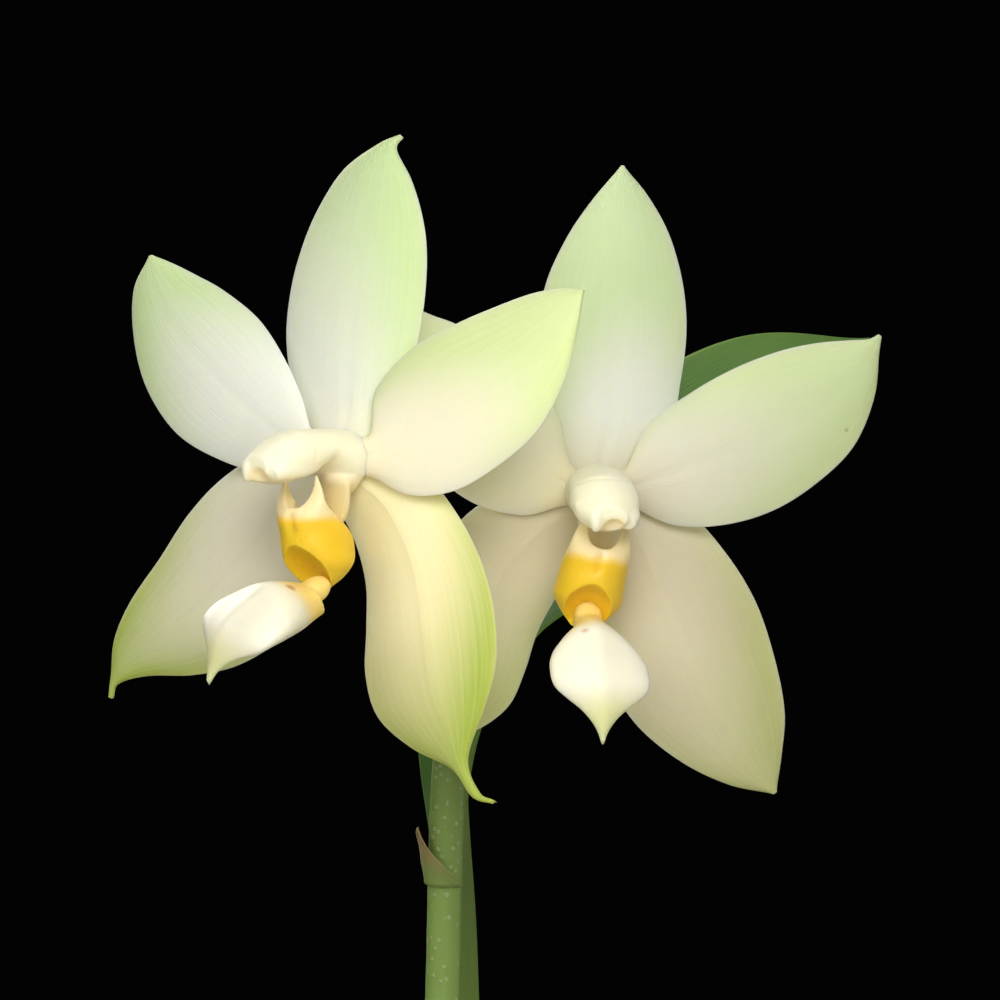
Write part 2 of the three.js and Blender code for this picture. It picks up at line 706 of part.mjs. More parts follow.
function tubSolid(bloom) {
  const shell = ringed(TUB, 9, 16, (a, b, t) => [-a, b, -t * TUB.height]);
  let tub = solidOf(placed(shell, bloom.tub));
  for (const { at, size } of [TUB.notch, TUB.well, TUB.pocket]) {
    tub = tub.subtract(solidOf(placed(ball(at, size), bloom.tub)));
  }
  return largest(tub.subtract(columnSolid(bloom.column, GAP)));
}

// Middle lobe of the lip: a fleshy lozenge on a narrow claw, ridged along its middle, its end
// drawn out to a tooth that bends down
const LOBE = {
  length: 16.2,
  half: [1.4, 2.4, 3.5, 4.4, 5.05, 5.05, 4.6, 3, 1.7, 0.7, 0.3],
  arch: [0, 0.9, 1.5, 1.7, 1.4, 0.6, -1.2],
  edge: 0.8,
  ridge: 2.8,
};

function lobeSolid(bloom) {
  const surface = (t, s) => [smooth(LOBE.half, t) * s, -LOBE.length * t, smooth(LOBE.arch, t)];
  const thick = (t, s) => LOBE.edge + LOBE.ridge * (1 - s * s) * Math.sin(Math.PI * mix(0.15, 1, t));
  const lobe = solidOf(placed(blade(surface, thick, 16, 6), bloom.lobe));
  return largest(lobe.subtract(tubSolid(bloom)));
}

// Pedicel and ovary: from the spike to the back of the bloom
const PEDICEL_RADII = [3.3, 2.4, 1.9, 1.7, 1.6, 1.6];

function pedicelGeometry(bloom) {
  const stalk = solidOf(shoot(bloom.pedicel, PEDICEL_RADII, 12, 10));
  const [x, y, z] = bloomCentre(bloom);
  const spike = geometryOf(spikeSolid(GAP)).translate(-x, -y, -z);
  return geometryOf(largest(stalk.subtract(solidOf(spike))));
}

function bloomGroup(bloom) {
  const group = new THREE.Group();
  group.position.set(...bloomCentre(bloom));
  const part = (name, geometry, finish) => group.add(named(`${bloom.name}_${name}`, geometry, finish));
  const thick = (t, s) => TEPAL_THICK * mix(1, 0.72, Math.abs(s) ** 4);
  for (const [name, tepal] of Object.entries(bloom.tepals)) {
    part(name, blade(tepalSurface(bloom, tepal), thick, 14, 6), "tepal");
  }
  part("pedicel", pedicelGeometry(bloom), "spike");
  part("column", geometryOf(columnSolid(bloom.column)), "cream");
  part("lip_side_lobes", geometryOf(tubSolid(bloom)), "yellow");
  part("lip_middle_lobe", geometryOf(lobeSolid(bloom)), "white");
  return group;
}

const orchid = new THREE.Group();
orchid.add(named("pot", potGeometry(), "clay"));
orchid.add(named("bark", barkGeometry(), "bark"));
orchid.add(named("stem", stemGeometry(), "stem"));
orchid.add(named("roots", geometryOf(largest(rootsSolid())), "root"));
for (const leaf of LEAVES) orchid.add(named(leaf.name, leafGeometry(leaf), "leaf"));
orchid.add(named("flower_spike", geometryOf(spikeSolid()), "spike"));
for (const bloom of BLOOMS) orchid.add(bloomGroup(bloom));

export default orchid;
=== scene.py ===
import json
import math

import bmesh
import bpy
import numpy as np
from bpy.props import FloatProperty, FloatVectorProperty, IntProperty, PointerProperty
from bpy.types import Operator, Panel, PropertyGroup
from mathutils import Euler, Matrix, Vector

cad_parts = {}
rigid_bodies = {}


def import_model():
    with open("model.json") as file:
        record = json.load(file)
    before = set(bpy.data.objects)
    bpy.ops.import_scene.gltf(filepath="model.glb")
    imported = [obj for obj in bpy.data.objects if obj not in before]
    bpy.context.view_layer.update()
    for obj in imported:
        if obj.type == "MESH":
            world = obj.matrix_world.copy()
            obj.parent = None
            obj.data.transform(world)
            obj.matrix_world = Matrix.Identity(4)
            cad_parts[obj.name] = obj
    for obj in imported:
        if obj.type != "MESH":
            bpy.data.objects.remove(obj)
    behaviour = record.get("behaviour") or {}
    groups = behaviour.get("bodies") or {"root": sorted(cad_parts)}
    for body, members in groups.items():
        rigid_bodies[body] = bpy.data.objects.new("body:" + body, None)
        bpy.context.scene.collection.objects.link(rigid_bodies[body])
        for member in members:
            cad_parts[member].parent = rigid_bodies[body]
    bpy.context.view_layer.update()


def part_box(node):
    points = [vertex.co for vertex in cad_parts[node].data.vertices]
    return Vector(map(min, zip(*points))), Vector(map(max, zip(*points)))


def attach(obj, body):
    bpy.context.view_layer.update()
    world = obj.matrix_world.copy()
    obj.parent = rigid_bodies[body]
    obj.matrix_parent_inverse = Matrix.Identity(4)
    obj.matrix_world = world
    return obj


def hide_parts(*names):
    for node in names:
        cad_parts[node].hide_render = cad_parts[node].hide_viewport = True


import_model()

bl_info = {
    "name": "Potted moth orchid",
    "version": (1, 0, 0),
    "blender": (4, 5, 0),
    "location": "3D View > Sidebar > Orchid",
    "description": "Models a pale moth orchid in flower in a clay pot",
    "category": "Add Mesh",
}

# Shapes are worked out in millimetres and made in metres.
MM = 0.001
STEP = 1e-3  # share of a surface's length over which its slope is taken
FULL_WIDTH = 13  # width at which a tepal has its full bow

# The eye's place across and up, the depth of the upright plane on which the blooms are laid out, and
# how far in front of that plane the eye stands
EYE_X, EYE_Z, EYE_PLANE, EYE_DISTANCE = 8, 225, -55, 450

# Leaves: midrib from base to tip, half widths, radius of the channel across them, and roll in degrees.
# side is 1 in the right rank and -1 in the left one.
LEAVES = [
    {
        "name": "leaf_right_low", "side": 1,
        "midrib": [(11.2, 0, 91), (15, 0, 109), (36, -2, 125), (70, -3, 123), (102, -4, 100),
                   (122, -6, 70)],
        "half": [11.5, 13, 26, 35, 33, 21, 1.6],
        "channel": [11.2, 13, 60, 110, 140, 160],
        "roll": [0, 0, -6, -9, -6, -4],
    },
    {
        "name": "leaf_left_low", "side": -1,
        "midrib": [(-11.2, 0, 92), (-15, 0, 109), (-34, -3, 126), (-66, -6, 127), (-98, -8, 108),
                   (-122, -10, 78)],
        "half": [11.5, 13, 25, 34, 32, 21, 1.6],
        "channel": [11.2, 13, 60, 110, 140, 160],
        "roll": [0, 0, 4, 8, 6, 4],
    },
    {
        "name": "leaf_right_high", "side": 1,
        "midrib": [(8.4, 0, 98.5), (12, 0.5, 118), (31, 4, 139), (62, 8, 143), (94, 13, 129),
                   (117, 18, 103)],
        "half": [8.8, 11, 22, 31, 30, 19, 1.6],
        "channel": [8.4, 11, 50, 90, 120, 140],
        "roll": [0, 0, 8, 12, 9, 6],
    },
    {
        "name": "leaf_left_high", "side": -1,
        "midrib": [(-8.4, 0, 99.5), (-12, 0.5, 118), (-30, 3, 140), (-60, 6, 147), (-92, 9, 135),
                   (-118, 12, 111)],
        "half": [8.8, 11, 22, 32, 31, 20, 1.6],
        "channel": [8.4, 11, 50, 90, 120, 140],
        "roll": [0, 0, -8, -14, -10, -6],
    },
    {
        "name": "leaf_upright", "side": 1,
        "midrib": [(5.8, 0, 106), (4.6, 2, 140), (3.6, 5, 172), (2.6, 8, 198), (8.2, 10, 212.3),
                   (21.9, 12, 224.5), (39.6, 12, 237.2), (52.6, 12, 243.6)],
        "half": [6, 7.5, 8.2, 8.4, 9.8, 14.6, 15, 1.6],
        "channel": [5.8, 7, 12, 50, 95, 110, 110, 90],
        "roll": [0, 0, 4, 24, 38, 37, 30, 30],
    },
]

# What stands out of a leaf, in millimetres: the groove above its midrib, the keel below it, the width
# of both, its veins, and how far its margin waves
LEAF_RELIEF = {"groove": 0.55, "keel": 0.75, "wide": 1.5, "veins": 0.05, "wave": 0.9}

# Blooms. left and right are a tepal's two edges from base to tip, as x and z from the bloom's centre.
# depth is how far its midrib lies behind the centre, bow how far its edges lie behind the midrib, lean
# how far its right edge is turned back and its left edge forward, and fold how sharply it is creased
# along its midrib. green is where along the tepal the green starts and is full, towards which side it
# lies (from -1, left, to 1, right) and how strong it is. warm is the share of cream in the white, and
# dusk that of beige, which near the centre is root_dull_and_shade: the beige is partly the
# tepals' own dull tone and partly painted shade, on the lower sepals and round the column. tilt is how
# much further back the bloom's right side lies for each millimetre. Column, tub and lobe have their
# turns in degrees, as pitch, twist and yaw, and their places from the bloom's centre. dusk is
# how far the column's foot is darkened, partly its own dull tone and partly painted shade in the tub's
# hollow, flush how strongly painted shade deepens the yellow of the tub's left side, skew how much
# further the lobe's right side reaches, wide and long the lobe's size against the common one, and spot
# the x and y of the brown spot at its root.
BLOOMS = [
    {
        "name": "left_bloom", "x": -16, "z": 4.5, "y": -60, "tilt": -0.62, "root_dull_and_shade": 0.1,
        "column": {"turn": (1, 0, -44), "at": (0, 0.4, 0.3), "dusk": 0.9},
        "tub": {"turn": (0, 0, -36), "at": (-4.4, -4.5, -3.1), "flush": 0.65},
        "lobe": {"turn": (33, 16, -65), "at": (-3.3, -3.6, -14.2), "skew": 0.0, "wide": 1.2, "long": 0.96,
                 "spot": (1.2, -2.2)},
        "pedicel": [(0, 2.6, 0), (0.6, 6.5, -1), (4, 13, -5), (9, 21, -11.5), (13.4, 26.6, -17)],
        "tepals": {
            "dorsal_sepal": {
                "left": [(-3.4, 2.2), (-5.4, 6.8), (-6.2, 11.8), (-5.9, 16.4),
                         (-4.9, 20.8), (-3.1, 25.4), (-0.3, 29.8), (3.2, 32.4), (5.7, 33.4)],
                "right": [(3.6, 2.4), (6.2, 6.2), (7.4, 11.4), (8.2, 16.6),
                          (8.4, 21.4), (7.9, 25.2), (6.8, 28.8), (5.3, 31.9), (5.95, 33.2)],
                "depth": [1.6, 2.2, 2.4, 2.2, 2.6, 3.6, 4.6],
                "bow": 1.3, "lean": -0.4, "fold": 0.5,
                "green": (0.1, 0.85, 0.65, 0.6), "warm": 0.0, "dusk": 0.0,
            },
            "petal_left": {
                "left": [(-3.4, -1.6), (-8.6, -1.7), (-13.4, -0.2), (-17.6, 2.4),
                         (-20.6, 6.8), (-22, 11.8), (-22.1, 17.2), (-20.4, 20.8)],
                "right": [(-3.2, 2.2), (-4.6, 6.2), (-6.4, 10.2), (-9, 14.2),
                          (-12.6, 17.2), (-15.6, 18.9), (-18, 20.1), (-20, 20.9)],
                "depth": [0.2, 0.6, 0.6, 0.8, 1.6, 2.6, 3.2],
                "bow": 1.4, "lean": -0.4, "fold": 0.0,
                "green": (0.45, 0.9, 0.0, 0.58), "warm": 0.0, "dusk": 0.0,
            },
            "petal_right": {
                "left": [(2.7, 2.6), (3, 6.8), (6.8, 11.2), (11.4, 13.8),
                         (15.8, 15.7), (19.4, 17), (22.3, 17.5), (24.6, 17.4)],
                "right": [(2.8, -2.2), (6.6, -4), (11.4, -3.5), (16, -0.8),
                          (19.8, 2.6), (22.4, 7.2), (23.9, 12.2), (24.75, 17.2)],
                "depth": [0.2, -0.2, -0.4, -0.6, -0.4, 0, 0.4],
                "bow": 1.2, "lean": -0.2, "fold": 0.0,
                "green": (0.35, 0.75, -0.5, 0.52), "warm": 0.4, "dusk": 0.1,
            },
            "lateral_sepal_left": {
                "left": [(-4.4, -0.4), (-8.6, 0.2), (-12.8, -2.2), (-16.4, -6),
                         (-19.4, -10.6), (-22.4, -15), (-24.1, -19), (-24.4, -22.8), (-24.6, -24.9)],
                "right": [(-0.6, -3.6), (-1.2, -8.4), (-2.8, -13.8), (-6.4, -18.6),
                          (-11, -21.6), (-15.8, -22.7), (-20.6, -22.8), (-23.6, -23.6), (-24.2, -25.1)],
                "depth": [1.8, 2.8, 3.4, 3.6, 4, 4.8, 5.4],
                "bow": 1.4, "lean": 0.2, "fold": 0.0,
                "green": (0.4, 0.95, 0.0, 0.95), "warm": 0.1, "dusk": 0.4,
            },
            "lateral_sepal_right": {
                "left": [(-2.2, -3.4), (0.5, -7.8), (2, -12.9), (2.1, -17.8), (2, -22.7),
                         (3.3, -27.1), (6.8, -30.3), (11, -32.5), (13.2, -35.4), (15.35, -36.05)],
                "right": [(4.4, -0.6), (8.4, -2.1), (11.9, -6.5), (14.3, -11.5), (15.5, -16.6),
                          (15.6, -21.6), (14.5, -25.9), (12.7, -31.4), (13.9, -34.9), (15.5, -35.8)],
                "depth": [1.8, 2.2, 2.4, 2, 2, 2.4, 1.6],
                "bow": 1.5, "lean": -0.4, "fold": 0.8,
                "green": (0.3, 0.87, 0.42, 1.0), "warm": 0.95, "dusk": 0.1,
            },
        },
    },
    {
        "name": "right_bloom", "x": 10, "z": 1, "y": -51, "tilt": 0.1, "root_dull_and_shade": 0.6,
        "column": {"turn": (9, 0, 5), "at": (0, 0.4, 0.4), "dusk": 0.4},
        "tub": {"turn": (0, 11.5, 5), "at": (0.75, -6.4, -3.9), "flush": 0.15},
        "lobe": {"turn": (50, 0, 9), "at": (-0.95, -4.6, -13.7), "skew": 0.1, "wide": 0.98, "long": 1.0,
                 "spot": (-1.3, -4.2)},
        "pedicel": [(0, 2.6, 0), (-0.3, 6.4, 0.2), (-3, 11.4, 1.2), (-6.6, 14.6, 1.8), (-9.8, 16.6, 2.4)],
        "tepals": {
            "dorsal_sepal": {
                "left": [(-3.6, 2.2), (-5.2, 7.2), (-5.7, 12.4), (-5.9, 17),
                         (-5.2, 21.6), (-3, 26.4), (-0.4, 30.2), (2.6, 33.7)],
                "right": [(3.8, 2.2), (7.6, 6.2), (8.8, 11.4), (9.4, 16.6),
                          (9, 21.6), (7.6, 26.6), (5.4, 30.6), (2.85, 33.7)],
                "depth": [1.6, 2.2, 2.4, 2.4, 2.8, 3.8, 4.6],
                "bow": 1.4, "lean": 0.2, "fold": 0.2,
                "green": (0.3, 0.65, -0.3, 0.5), "warm": 0.0, "dusk": 0.0,
            },
            "petal_left": {
                "left": [(-3.3, -1.6), (-7.6, -2.6), (-12.6, -1.4), (-16.6, 1.6),
                         (-19.4, 5.8), (-21.2, 10.6), (-21.8, 15.4), (-21.2, 19.6)],
                "right": [(-2.6, 2.8), (-4, 7.8), (-7.6, 12), (-11.4, 15.2),
                          (-14.4, 17.2), (-17, 18.2), (-19.2, 19.2), (-20.4, 20.2)],
                "depth": [0.2, 0.4, 0.6, 0.8, 1.4, 2.2, 2.8],
                "bow": 1.3, "lean": 0.0, "fold": 0.0,
                "green": (0.3, 0.9, 0.5, 0.34), "warm": 0.42, "dusk": 0.0,
            },
            "petal_right": {
                "left": [(3, 2.4), (5.4, 6.8), (9.6, 10), (14.2, 12.6),
                         (18.8, 14.4), (22.8, 15.3), (26.2, 15.6), (28.2, 15.7), (29.2, 16.1)],
                "right": [(3.3, -1.6), (8, -3.6), (13.2, -3.6), (18.4, -2.1),
                          (23, 0.8), (26.8, 4.6), (28.9, 9.6), (29.4, 14.2), (29.6, 15.9)],
                "depth": [0.2, 0, 0, 0.2, 0.6, 1.2, 2],
                "bow": 1.2, "lean": 0.4, "fold": 0.0,
                "green": (0.25, 0.75, -0.1, 0.46), "warm": 0.0, "dusk": 0.3,
            },
            "lateral_sepal_left": {
                "left": [(-4.4, -0.4), (-8.8, -0.2), (-12.6, -1.8), (-15.8, -5.4),
                         (-17.4, -10.4), (-17.8, -15.6), (-17.2, -20.4), (-15.6, -25)],
                "right": [(0.6, -3.6), (-1.6, -7), (-4.1, -11), (-6.1, -14.8),
                          (-7.4, -18.8), (-9, -22.3), (-11.8, -24.6), (-14.8, -25.6)],
                "depth": [1.8, 2.4, 3, 3.4, 3.8, 4.4, 5],
                "bow": 1.4, "lean": 0.4, "fold": 0.2,
                # Here the green lying towards the right and the strong beige are partly painted shade on the
                # sepal's right side
                "green": (0.42, 1.0, 0.35, 0.56), "warm": 0.1, "dusk": 0.58,
            },
            "lateral_sepal_right": {
                "left": [(0.6, -3.6), (0.4, -9), (0.4, -14.8), (1.4, -19.8),
                         (4.2, -24.4), (8.8, -28.2), (13.8, -30.6), (18.4, -31.5)],
                "right": [(4.4, -0.6), (9.4, -2.2), (13.4, -6.4), (16.6, -11.6),
                          (18.6, -17.6), (19.6, -23), (19.3, -27.4), (18.7, -31.3)],
                "depth": [1.8, 2.2, 2.6, 2.8, 3, 3.6, 4.4],
                "bow": 1.6, "lean": -0.3, "fold": 0.4,
                "green": (0.45, 1.0, 0.5, 0.55), "warm": 0.1, "dusk": 0.62,
            },
        },
    },
]

# What stands out of a tepal at its midrib, at the front and back, in millimetres, with the width of both
# as a share of its half width, and how far its margin waves
TEPAL_RELIEF = {"groove": 0.14, "keel": 0.224, "wide": 0.07, "wave": 0.22}

# A brown speck on a petal, as x and z on the eye's plane and its depth
SPECK = (36.2, 7.2, -47.8)

# Column, in its own frame: it points forward, along -Y. foot, heel and hollow are a place and a size.
# cap is where the seam behind its cap lies, and parts are its shoulders and the beak.
COLUMN = {
    "length": 12.9,
    "wide": [3.3, 3.5, 3.4, 3.5, 3.6, 3.2, 1.9],
    "high": [3.1, 2.6, 1.9, 2.4, 2.6, 2.2, 1.2],
    "rise": [-0.6, 0, 0.7, 0.2, -0.2, -0.8, -1.3],
    "foot": ((0.2, -2, -4), (2.3, 0.8, 3.7)),
    "heel": ((0.4, -1.2, -2.2), (2.2, 1.9, 2.2)),
    "hollow": ((0.5, -13.3, -2.5), (1.3, 1.3, 1.2)),
    "cap": {"at": -9, "bow": 0.12, "deep": 0.09, "wide": 0.3},
    "parts": [
        {
            "path": [(1.8, -6.2, -0.9), (2.2, -8.6, -1.2), (2.2, -11, -1.5), (2, -12.3, -1.9)],
            "girth": [0.9, 1.2, 1.2, 0.8],
        },
        {
            "path": [(-2, -6.2, -0.6), (-2.5, -8.6, -0.5), (-2.5, -10.8, -0.4)],
            "girth": [0.9, 1.1, 0.8],
        },
        {
            "path": [(-1, -11, -0.8), (-1.2, -12.2, -1), (-1.3, -12.5, -1.9), (-1.3, -12.5, -2.7)],
            "girth": [1.1, 0.9, 0.7, 0.4],
        },
    ],
}

# Side lobes of the lip, grown together as a tub. The lists run from the horns down. The notch parts the
# horns, the well hollows the tub from above, and the groove opens its front towards the middle lobe.
# fold is a crease down its front, and seam a line of painted shade in it.
TUB = {
    "top": 1.2,
    "height": 11.8,
    "wide": [2.1, 2.75, 3.15, 3.35, 3.5, 3.55, 3.6, 2.6, 1.2],
    "high": [0.3, 0.6, 1.3, 3, 3.9, 4.1, 3.6, 2.7, 1.4],
    "rise": [0, 0, 0, 1.1, 2.3, 2.7, 2.9, 2.9, 2.2],
    "notch": ((0, 0, 1.2), (1.85, 8, 3.4)),
    "well": ((0, 1.6, -2.4), (1.65, 1.9, 2)),
    "groove": [(0, -3.6, -3.9), (0, -3.4, -5.4), (0, -2.8, -7), (0, -1.6, -8.6), (0, 0, -10),
               (0, 1.2, -11.4)],
    "groove_girth": [0.3, 0.9, 1.9, 2.8, 3, 2.7],
    "fold": {"deep": 0.3, "wide": 0.5, "top": (-2.2, -3), "end": (-5.4, -4.2)},
    "seam": {"wide": (0.06, 0.22), "foot": (-3.7, -3.2), "top": (-2.9, -2.5), "front": -1.2},
}

# Middle lobe of the lip: half widths from claw to tooth, how its middle line arches, and how far its
# upper and lower faces lie from that line. bumps are two small teeth and the root, as places and sizes,
# and spot is the size of the brown spot, whose middle lies at the height spot_top.
LOBE = {
    "length": 14.8,
    "half": [1.6, 1.6, 1.9, 2.6, 3.3, 3.9, 4.5, 4.9, 5.15, 5.2, 5.15, 4.8, 3.8, 2.5, 1.4, 0.6, 0.15],
    "arch": [0, 0.9, 1.6, 1.9, 1.7, 0.8, -1.2],
    "crown": [1.5, 2.3, 2.6, 2, 1.8, 1.5, 0.9, 0.4],
    "belly": [2.2, 3, 3.1, 2.6, 1.9, 1.1, 0.6, 0.35],
    "keel": {"high": 0.25, "wide": 1.3},
    "bumps": [
        ((-0.6, -1.6, 1.8), (0.45, 0.8, 0.5)), ((0.6, -1.6, 1.8), (0.45, 0.8, 0.5)),
        ((0, 0.3, 0.4), (1.5, 2, 1.3)),
    ],
    "spot": (0.62, 0.5, 1.8),
    "spot_top": 3,
    "spot_strength": 0.62,
}

# Spike, from the stem up, with its radius, and the radius of a pedicel from the bloom down
SPIKE_PATH = [
    (0, -11.4, 91.5), (0, -17, 97), (0, -21, 114), (0.6, -24, 141), (1.6, -27, 169),
    (2.4, -30, 195), (4.6, -33, 210), (9, -35.5, 222), (9, -34, 232), (12, -31.5, 240),
]
SPIKE_GIRTH = [1.4, 2.0, 2.1, 2.0, 1.9, 1.9, 2.0, 2.2, 1.9, 1.0]
PEDICEL_GIRTH = [3.3, 2.4, 1.9, 1.7, 1.6, 1.6]

# Bracts: how far along the spike each clasps it, and the bearing of its tip in degrees
BRACTS = [(0.24, 30), (0.37, 170), (0.5, -20), (0.66, -117), (0.83, -60), (0.95, 110)]
# how long a bract is, how far round its foot reaches to each side, in radians, and how its tip flares
BRACT = {"length": 6.4, "clasp": 2.6, "flare": 0.9, "thick": 0.34}

# Roots: the first and the third run over the rim, and the others dive into the bark.
ROOT_PATHS = [
    [(7, -2, 82.5), (20, -14, 87), (33, -24, 92), (46, -34, 98.5), (55, -41, 96), (56.5, -43, 84),
     (52.5, -42, 68), (46, -40, 50)],
    [(-6, -4, 82.5), (-16, -16, 87.5), (-27, -22, 88), (-36, -19, 84), (-40, -11, 78)],
    [(-6, 3, 82.5), (-17, 10, 87.5), (-29, 19, 89.5), (-36, 26, 92.5), (-46, 36, 99), (-53.5, 42, 94.5),
     (-54.5, 43.5, 82), (-51, 42, 66)],
    [(2, 7, 82.5), (6, 19, 87.5), (15, 30, 88), (24, 31, 84), (29, 27, 77)],
    [(6, 4, 82.5), (18, 9, 87.5), (30, 10, 87), (38, 7, 82), (40, 5, 75)],
    [(-1, -7, 82.5), (-4, -18, 87.5), (2, -28, 88), (11, -34, 84), (16, -36, 77)],
]
ROOT_GIRTH = [2.7, 2.9, 2.7, 2.5, 2.2, 1.3]

# Stem: radius and height, from its foot in the bark
STEM_PROFILE = [
    (3, 68), (5.4, 70), (5.6, 86), (9, 88.5), (9.8, 90.5), (9.7, 95), (7.6, 98), (7, 101.5),
    (5, 105), (4.2, 110), (2.6, 113),
]

# Bark: radius and height of its crown, the height where it meets the wall, and the heights of the edge
# and the middle of the cone that the chips lie on. CHIP_FORMS is how many shapes of chip there are,
# CHIP_GAP how far apart they lie as a share of their size, CHIP_TILT how far they tilt in radians, and
# CHIP_CROWD more chips to a square metre than the gap leaves room for.
BARK_CROWN = [(30, 80.2), (0, 81.2)]
BARK_EDGE = 78
CHIP_CONE = (79, 80.5)
CHIP_FORMS = 10
CHIP_GAP = 0.42
CHIP_TILT = 0.55
CHIP_CROWD = 200000.0

# Linear colours that only shade the ones in the settings
PALE_GRAIN = (0.75, 0.42, 0.25)
CLAY_PIT = (0.12, 0.05, 0.03)
DARK_BARK = (0.11, 0.05, 0.028)
BARK_DUST = (0.045, 0.022, 0.014)
LEAF_VEIN = (0.035, 0.09, 0.015)
LEAF_FLUSH = (0.17, 0.11, 0.1)
SHOOT_DOT = (0.62, 0.66, 0.42)
ROOT_SCURF = (0.68, 0.69, 0.6)
ROOT_STAIN = (0.23, 0.19, 0.12)
PETAL_SPECK = (0.2, 0.13, 0.06)
FLOOR_CLOUD = (0.6, 0.59, 0.57)

# Lamps: name, place, width, share of the main light's power, and colour. All point at the aim.
LAMP_AIM = (0.005, -0.04, 0.2)
LAMPS = [
    ("key", (0.12, -0.95, 0.7), 0.55, 0.66, (1, 0.985, 0.96)),
    ("near", (0.0, -0.14, 0.236), 0.06, 0.0033, (1, 0.965, 0.91)),
    ("fill", (-0.8, -0.6, 0.6), 0.7, 0.25, (1, 1, 0.98)),
    ("top", (0.0, 0.1, 1.1), 0.6, 0.25, (1, 1, 1)),
    ("back", (-0.45, 0.75, 0.6), 0.5, 0.4, (1, 0.98, 0.94)),
    ("side", (0.95, 0.25, 0.45), 0.6, 0.15, (1, 1, 1)),
]


def tint(code):
    """The linear red, green and blue of a colour written as six hexadecimal digits."""
    parts = [int(code[i:i + 2], 16) / 255 for i in (0, 2, 4)]
    return tuple(p / 12.92 if p <= 0.04045 else ((p + 0.055) / 1.055) ** 2.4 for p in parts)


def colour(name, description, code):
    return FloatVectorProperty(
        name=name, description=description, default=tint(code), subtype="COLOR", size=3, min=0, max=1,
    )


def length(name, description, default):
    return FloatProperty(name=name, description=description, default=default, unit="LENGTH", precision=5)


pot_low, pot_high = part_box("pot")


class OrchidBloomSettings(PropertyGroup):
    """Sizes and colours of the blooms"""

    tepal_thickness: length("Tepal thickness", "Thickness of a sepal or petal at its midrib", 0.0009)
    vein_depth: length("Vein depth", "How far the veins of a tepal stand out", 0.00001)
    white: colour("White", "Plain parts of the tepals", "eef0e5")
    cream: colour("Cream", "Warm parts of the tepals", "fff3c4")
    # This beige is partly the tepals' own dull tone and partly painted shade, on the lower sepals and near
    # the column
    beige_and_shade: colour("Beige", "Dull parts of the lower sepals", "cbbd94")
    green: colour("Green", "Tips and flush of the dorsal sepals and petals", "b4dd6a")
    low_green: colour("Low green", "Tips and one-sided flush of the lower sepals", "aabb4c")
    column: colour("Column", "Column", "fff5da")
    blush: colour("Blush", "Hollow under the column's end", "f6dfa6")
    # The foot colour is partly painted shade, on the column's foot where it stands in the tub's hollow
    foot: colour("Foot", "Foot of the column", "dccb92")
    collar: colour("Collar", "Horns and collar of the side lobes", "fce4b2")
    yellow: colour("Yellow", "Side lobes of the lip", "fccf33")
    # This deeper yellow gives the lobes' uneven tone, and is painted shade in the groove, on the tub's left
    # side and along the seam
    deep_yellow_and_shade: colour("Orange", "Inside of the side lobes", "d4bd1e")
    lip_white: colour("Lip white", "Middle lobe of the lip", "f7f2e0")
    lip_tip: colour("Lip tip", "Tooth of the middle lobe", "dfe39a")
    callus: colour("Callus", "Spot at the root of the middle lobe", "b3701e")


class OrchidFoliageSettings(PropertyGroup):
    """Sizes and colours of leaves, stem, roots and spike"""

    leaf_thickness: length("Leaf thickness", "Thickness of a leaf beside its midrib", 0.002)
    leaf_green: colour("Leaf green", "Upper face of the leaves", "4f7c2c")
    leaf_light: colour("Light green", "Midrib, margin and light flecks of the leaves", "8bab52")
    leaf_back: colour("Leaf back", "Lower face of the leaves", "7f9c48")
    root_silver: colour("Root silver", "Dry skin of the roots", "b9bda9")
    root_green: colour("Root green", "Damp skin and growing tips of the roots", "7f9a4c")
    spike_green: colour("Spike green", "Flower spike and pedicels", "86a352")
    spike_dark: colour("Spike flush", "Dark flush on the spike", "6d5a3c")
    bract: colour("Bract", "Dry bracts", "a58f5f")


class OrchidPotSettings(PropertyGroup):
    """Sizes and colours of the pot and its filling"""

    height: length("Height", "Height of the pot", pot_high.z - pot_low.z)
    foot_radius: length("Foot radius", "Radius of the foot", 0.038)
    top_radius: length("Wall radius", "Radius of the wall at the top, under the rim", 0.054)
    rim_height: length("Rim height", "Height of the thicker rim", 0.020)
    rim_radius: length("Rim radius", "Radius of the rim at the top", pot_high.x)
    wall: length("Wall", "Thickness of the wall", 0.005)
    floor: length("Floor", "Thickness of the floor", 0.007)
    hole_radius: length("Hole radius", "Radius of a drain hole", 0.005)
    hole_ring: length("Hole ring", "Radius of the ring of drain holes", 0.021)
    holes: IntProperty(name="Holes", description="Number of drain holes", default=5, min=1)
    clay: colour("Clay", "Fired clay", "b8673f")
    clay_dark: colour("Damp clay", "Damp and stained clay", "8a4a2e")
    lime: colour("Lime", "Lime bloom on the clay", "d8c4ae")
    bark: colour("Bark", "Outside of the bark chips", "5b3c28")
    bark_light: colour("Bark layers", "Broken edges of the bark chips", "96704a")
    chip_size: length("Chip size", "Length of a bark chip", 0.012)
    chip_seed: IntProperty(name="Chip seed", description="Draws the places of the chips", default=7)


class OrchidStageSettings(PropertyGroup):
    """Camera, lights and floor"""

    eye: FloatVectorProperty(
        name="Eye", description="Place of the camera",
        default=(EYE_X * MM, (EYE_PLANE - EYE_DISTANCE) * MM, EYE_Z * MM),
        subtype="TRANSLATION", unit="LENGTH", size=3,
    )
    lens: FloatProperty(name="Lens", description="Focal length", default=155.77, unit="CAMERA")
    floor_radius: length("Floor radius", "Radius of the pale floor", 1.35)
    floor: colour("Floor", "Pale floor", "d9d7d2")
    backdrop: colour("Backdrop", "Dark room behind the plant", "030303")
    light: FloatProperty(name="Light", description="Power of the main light", default=9, unit="POWER")


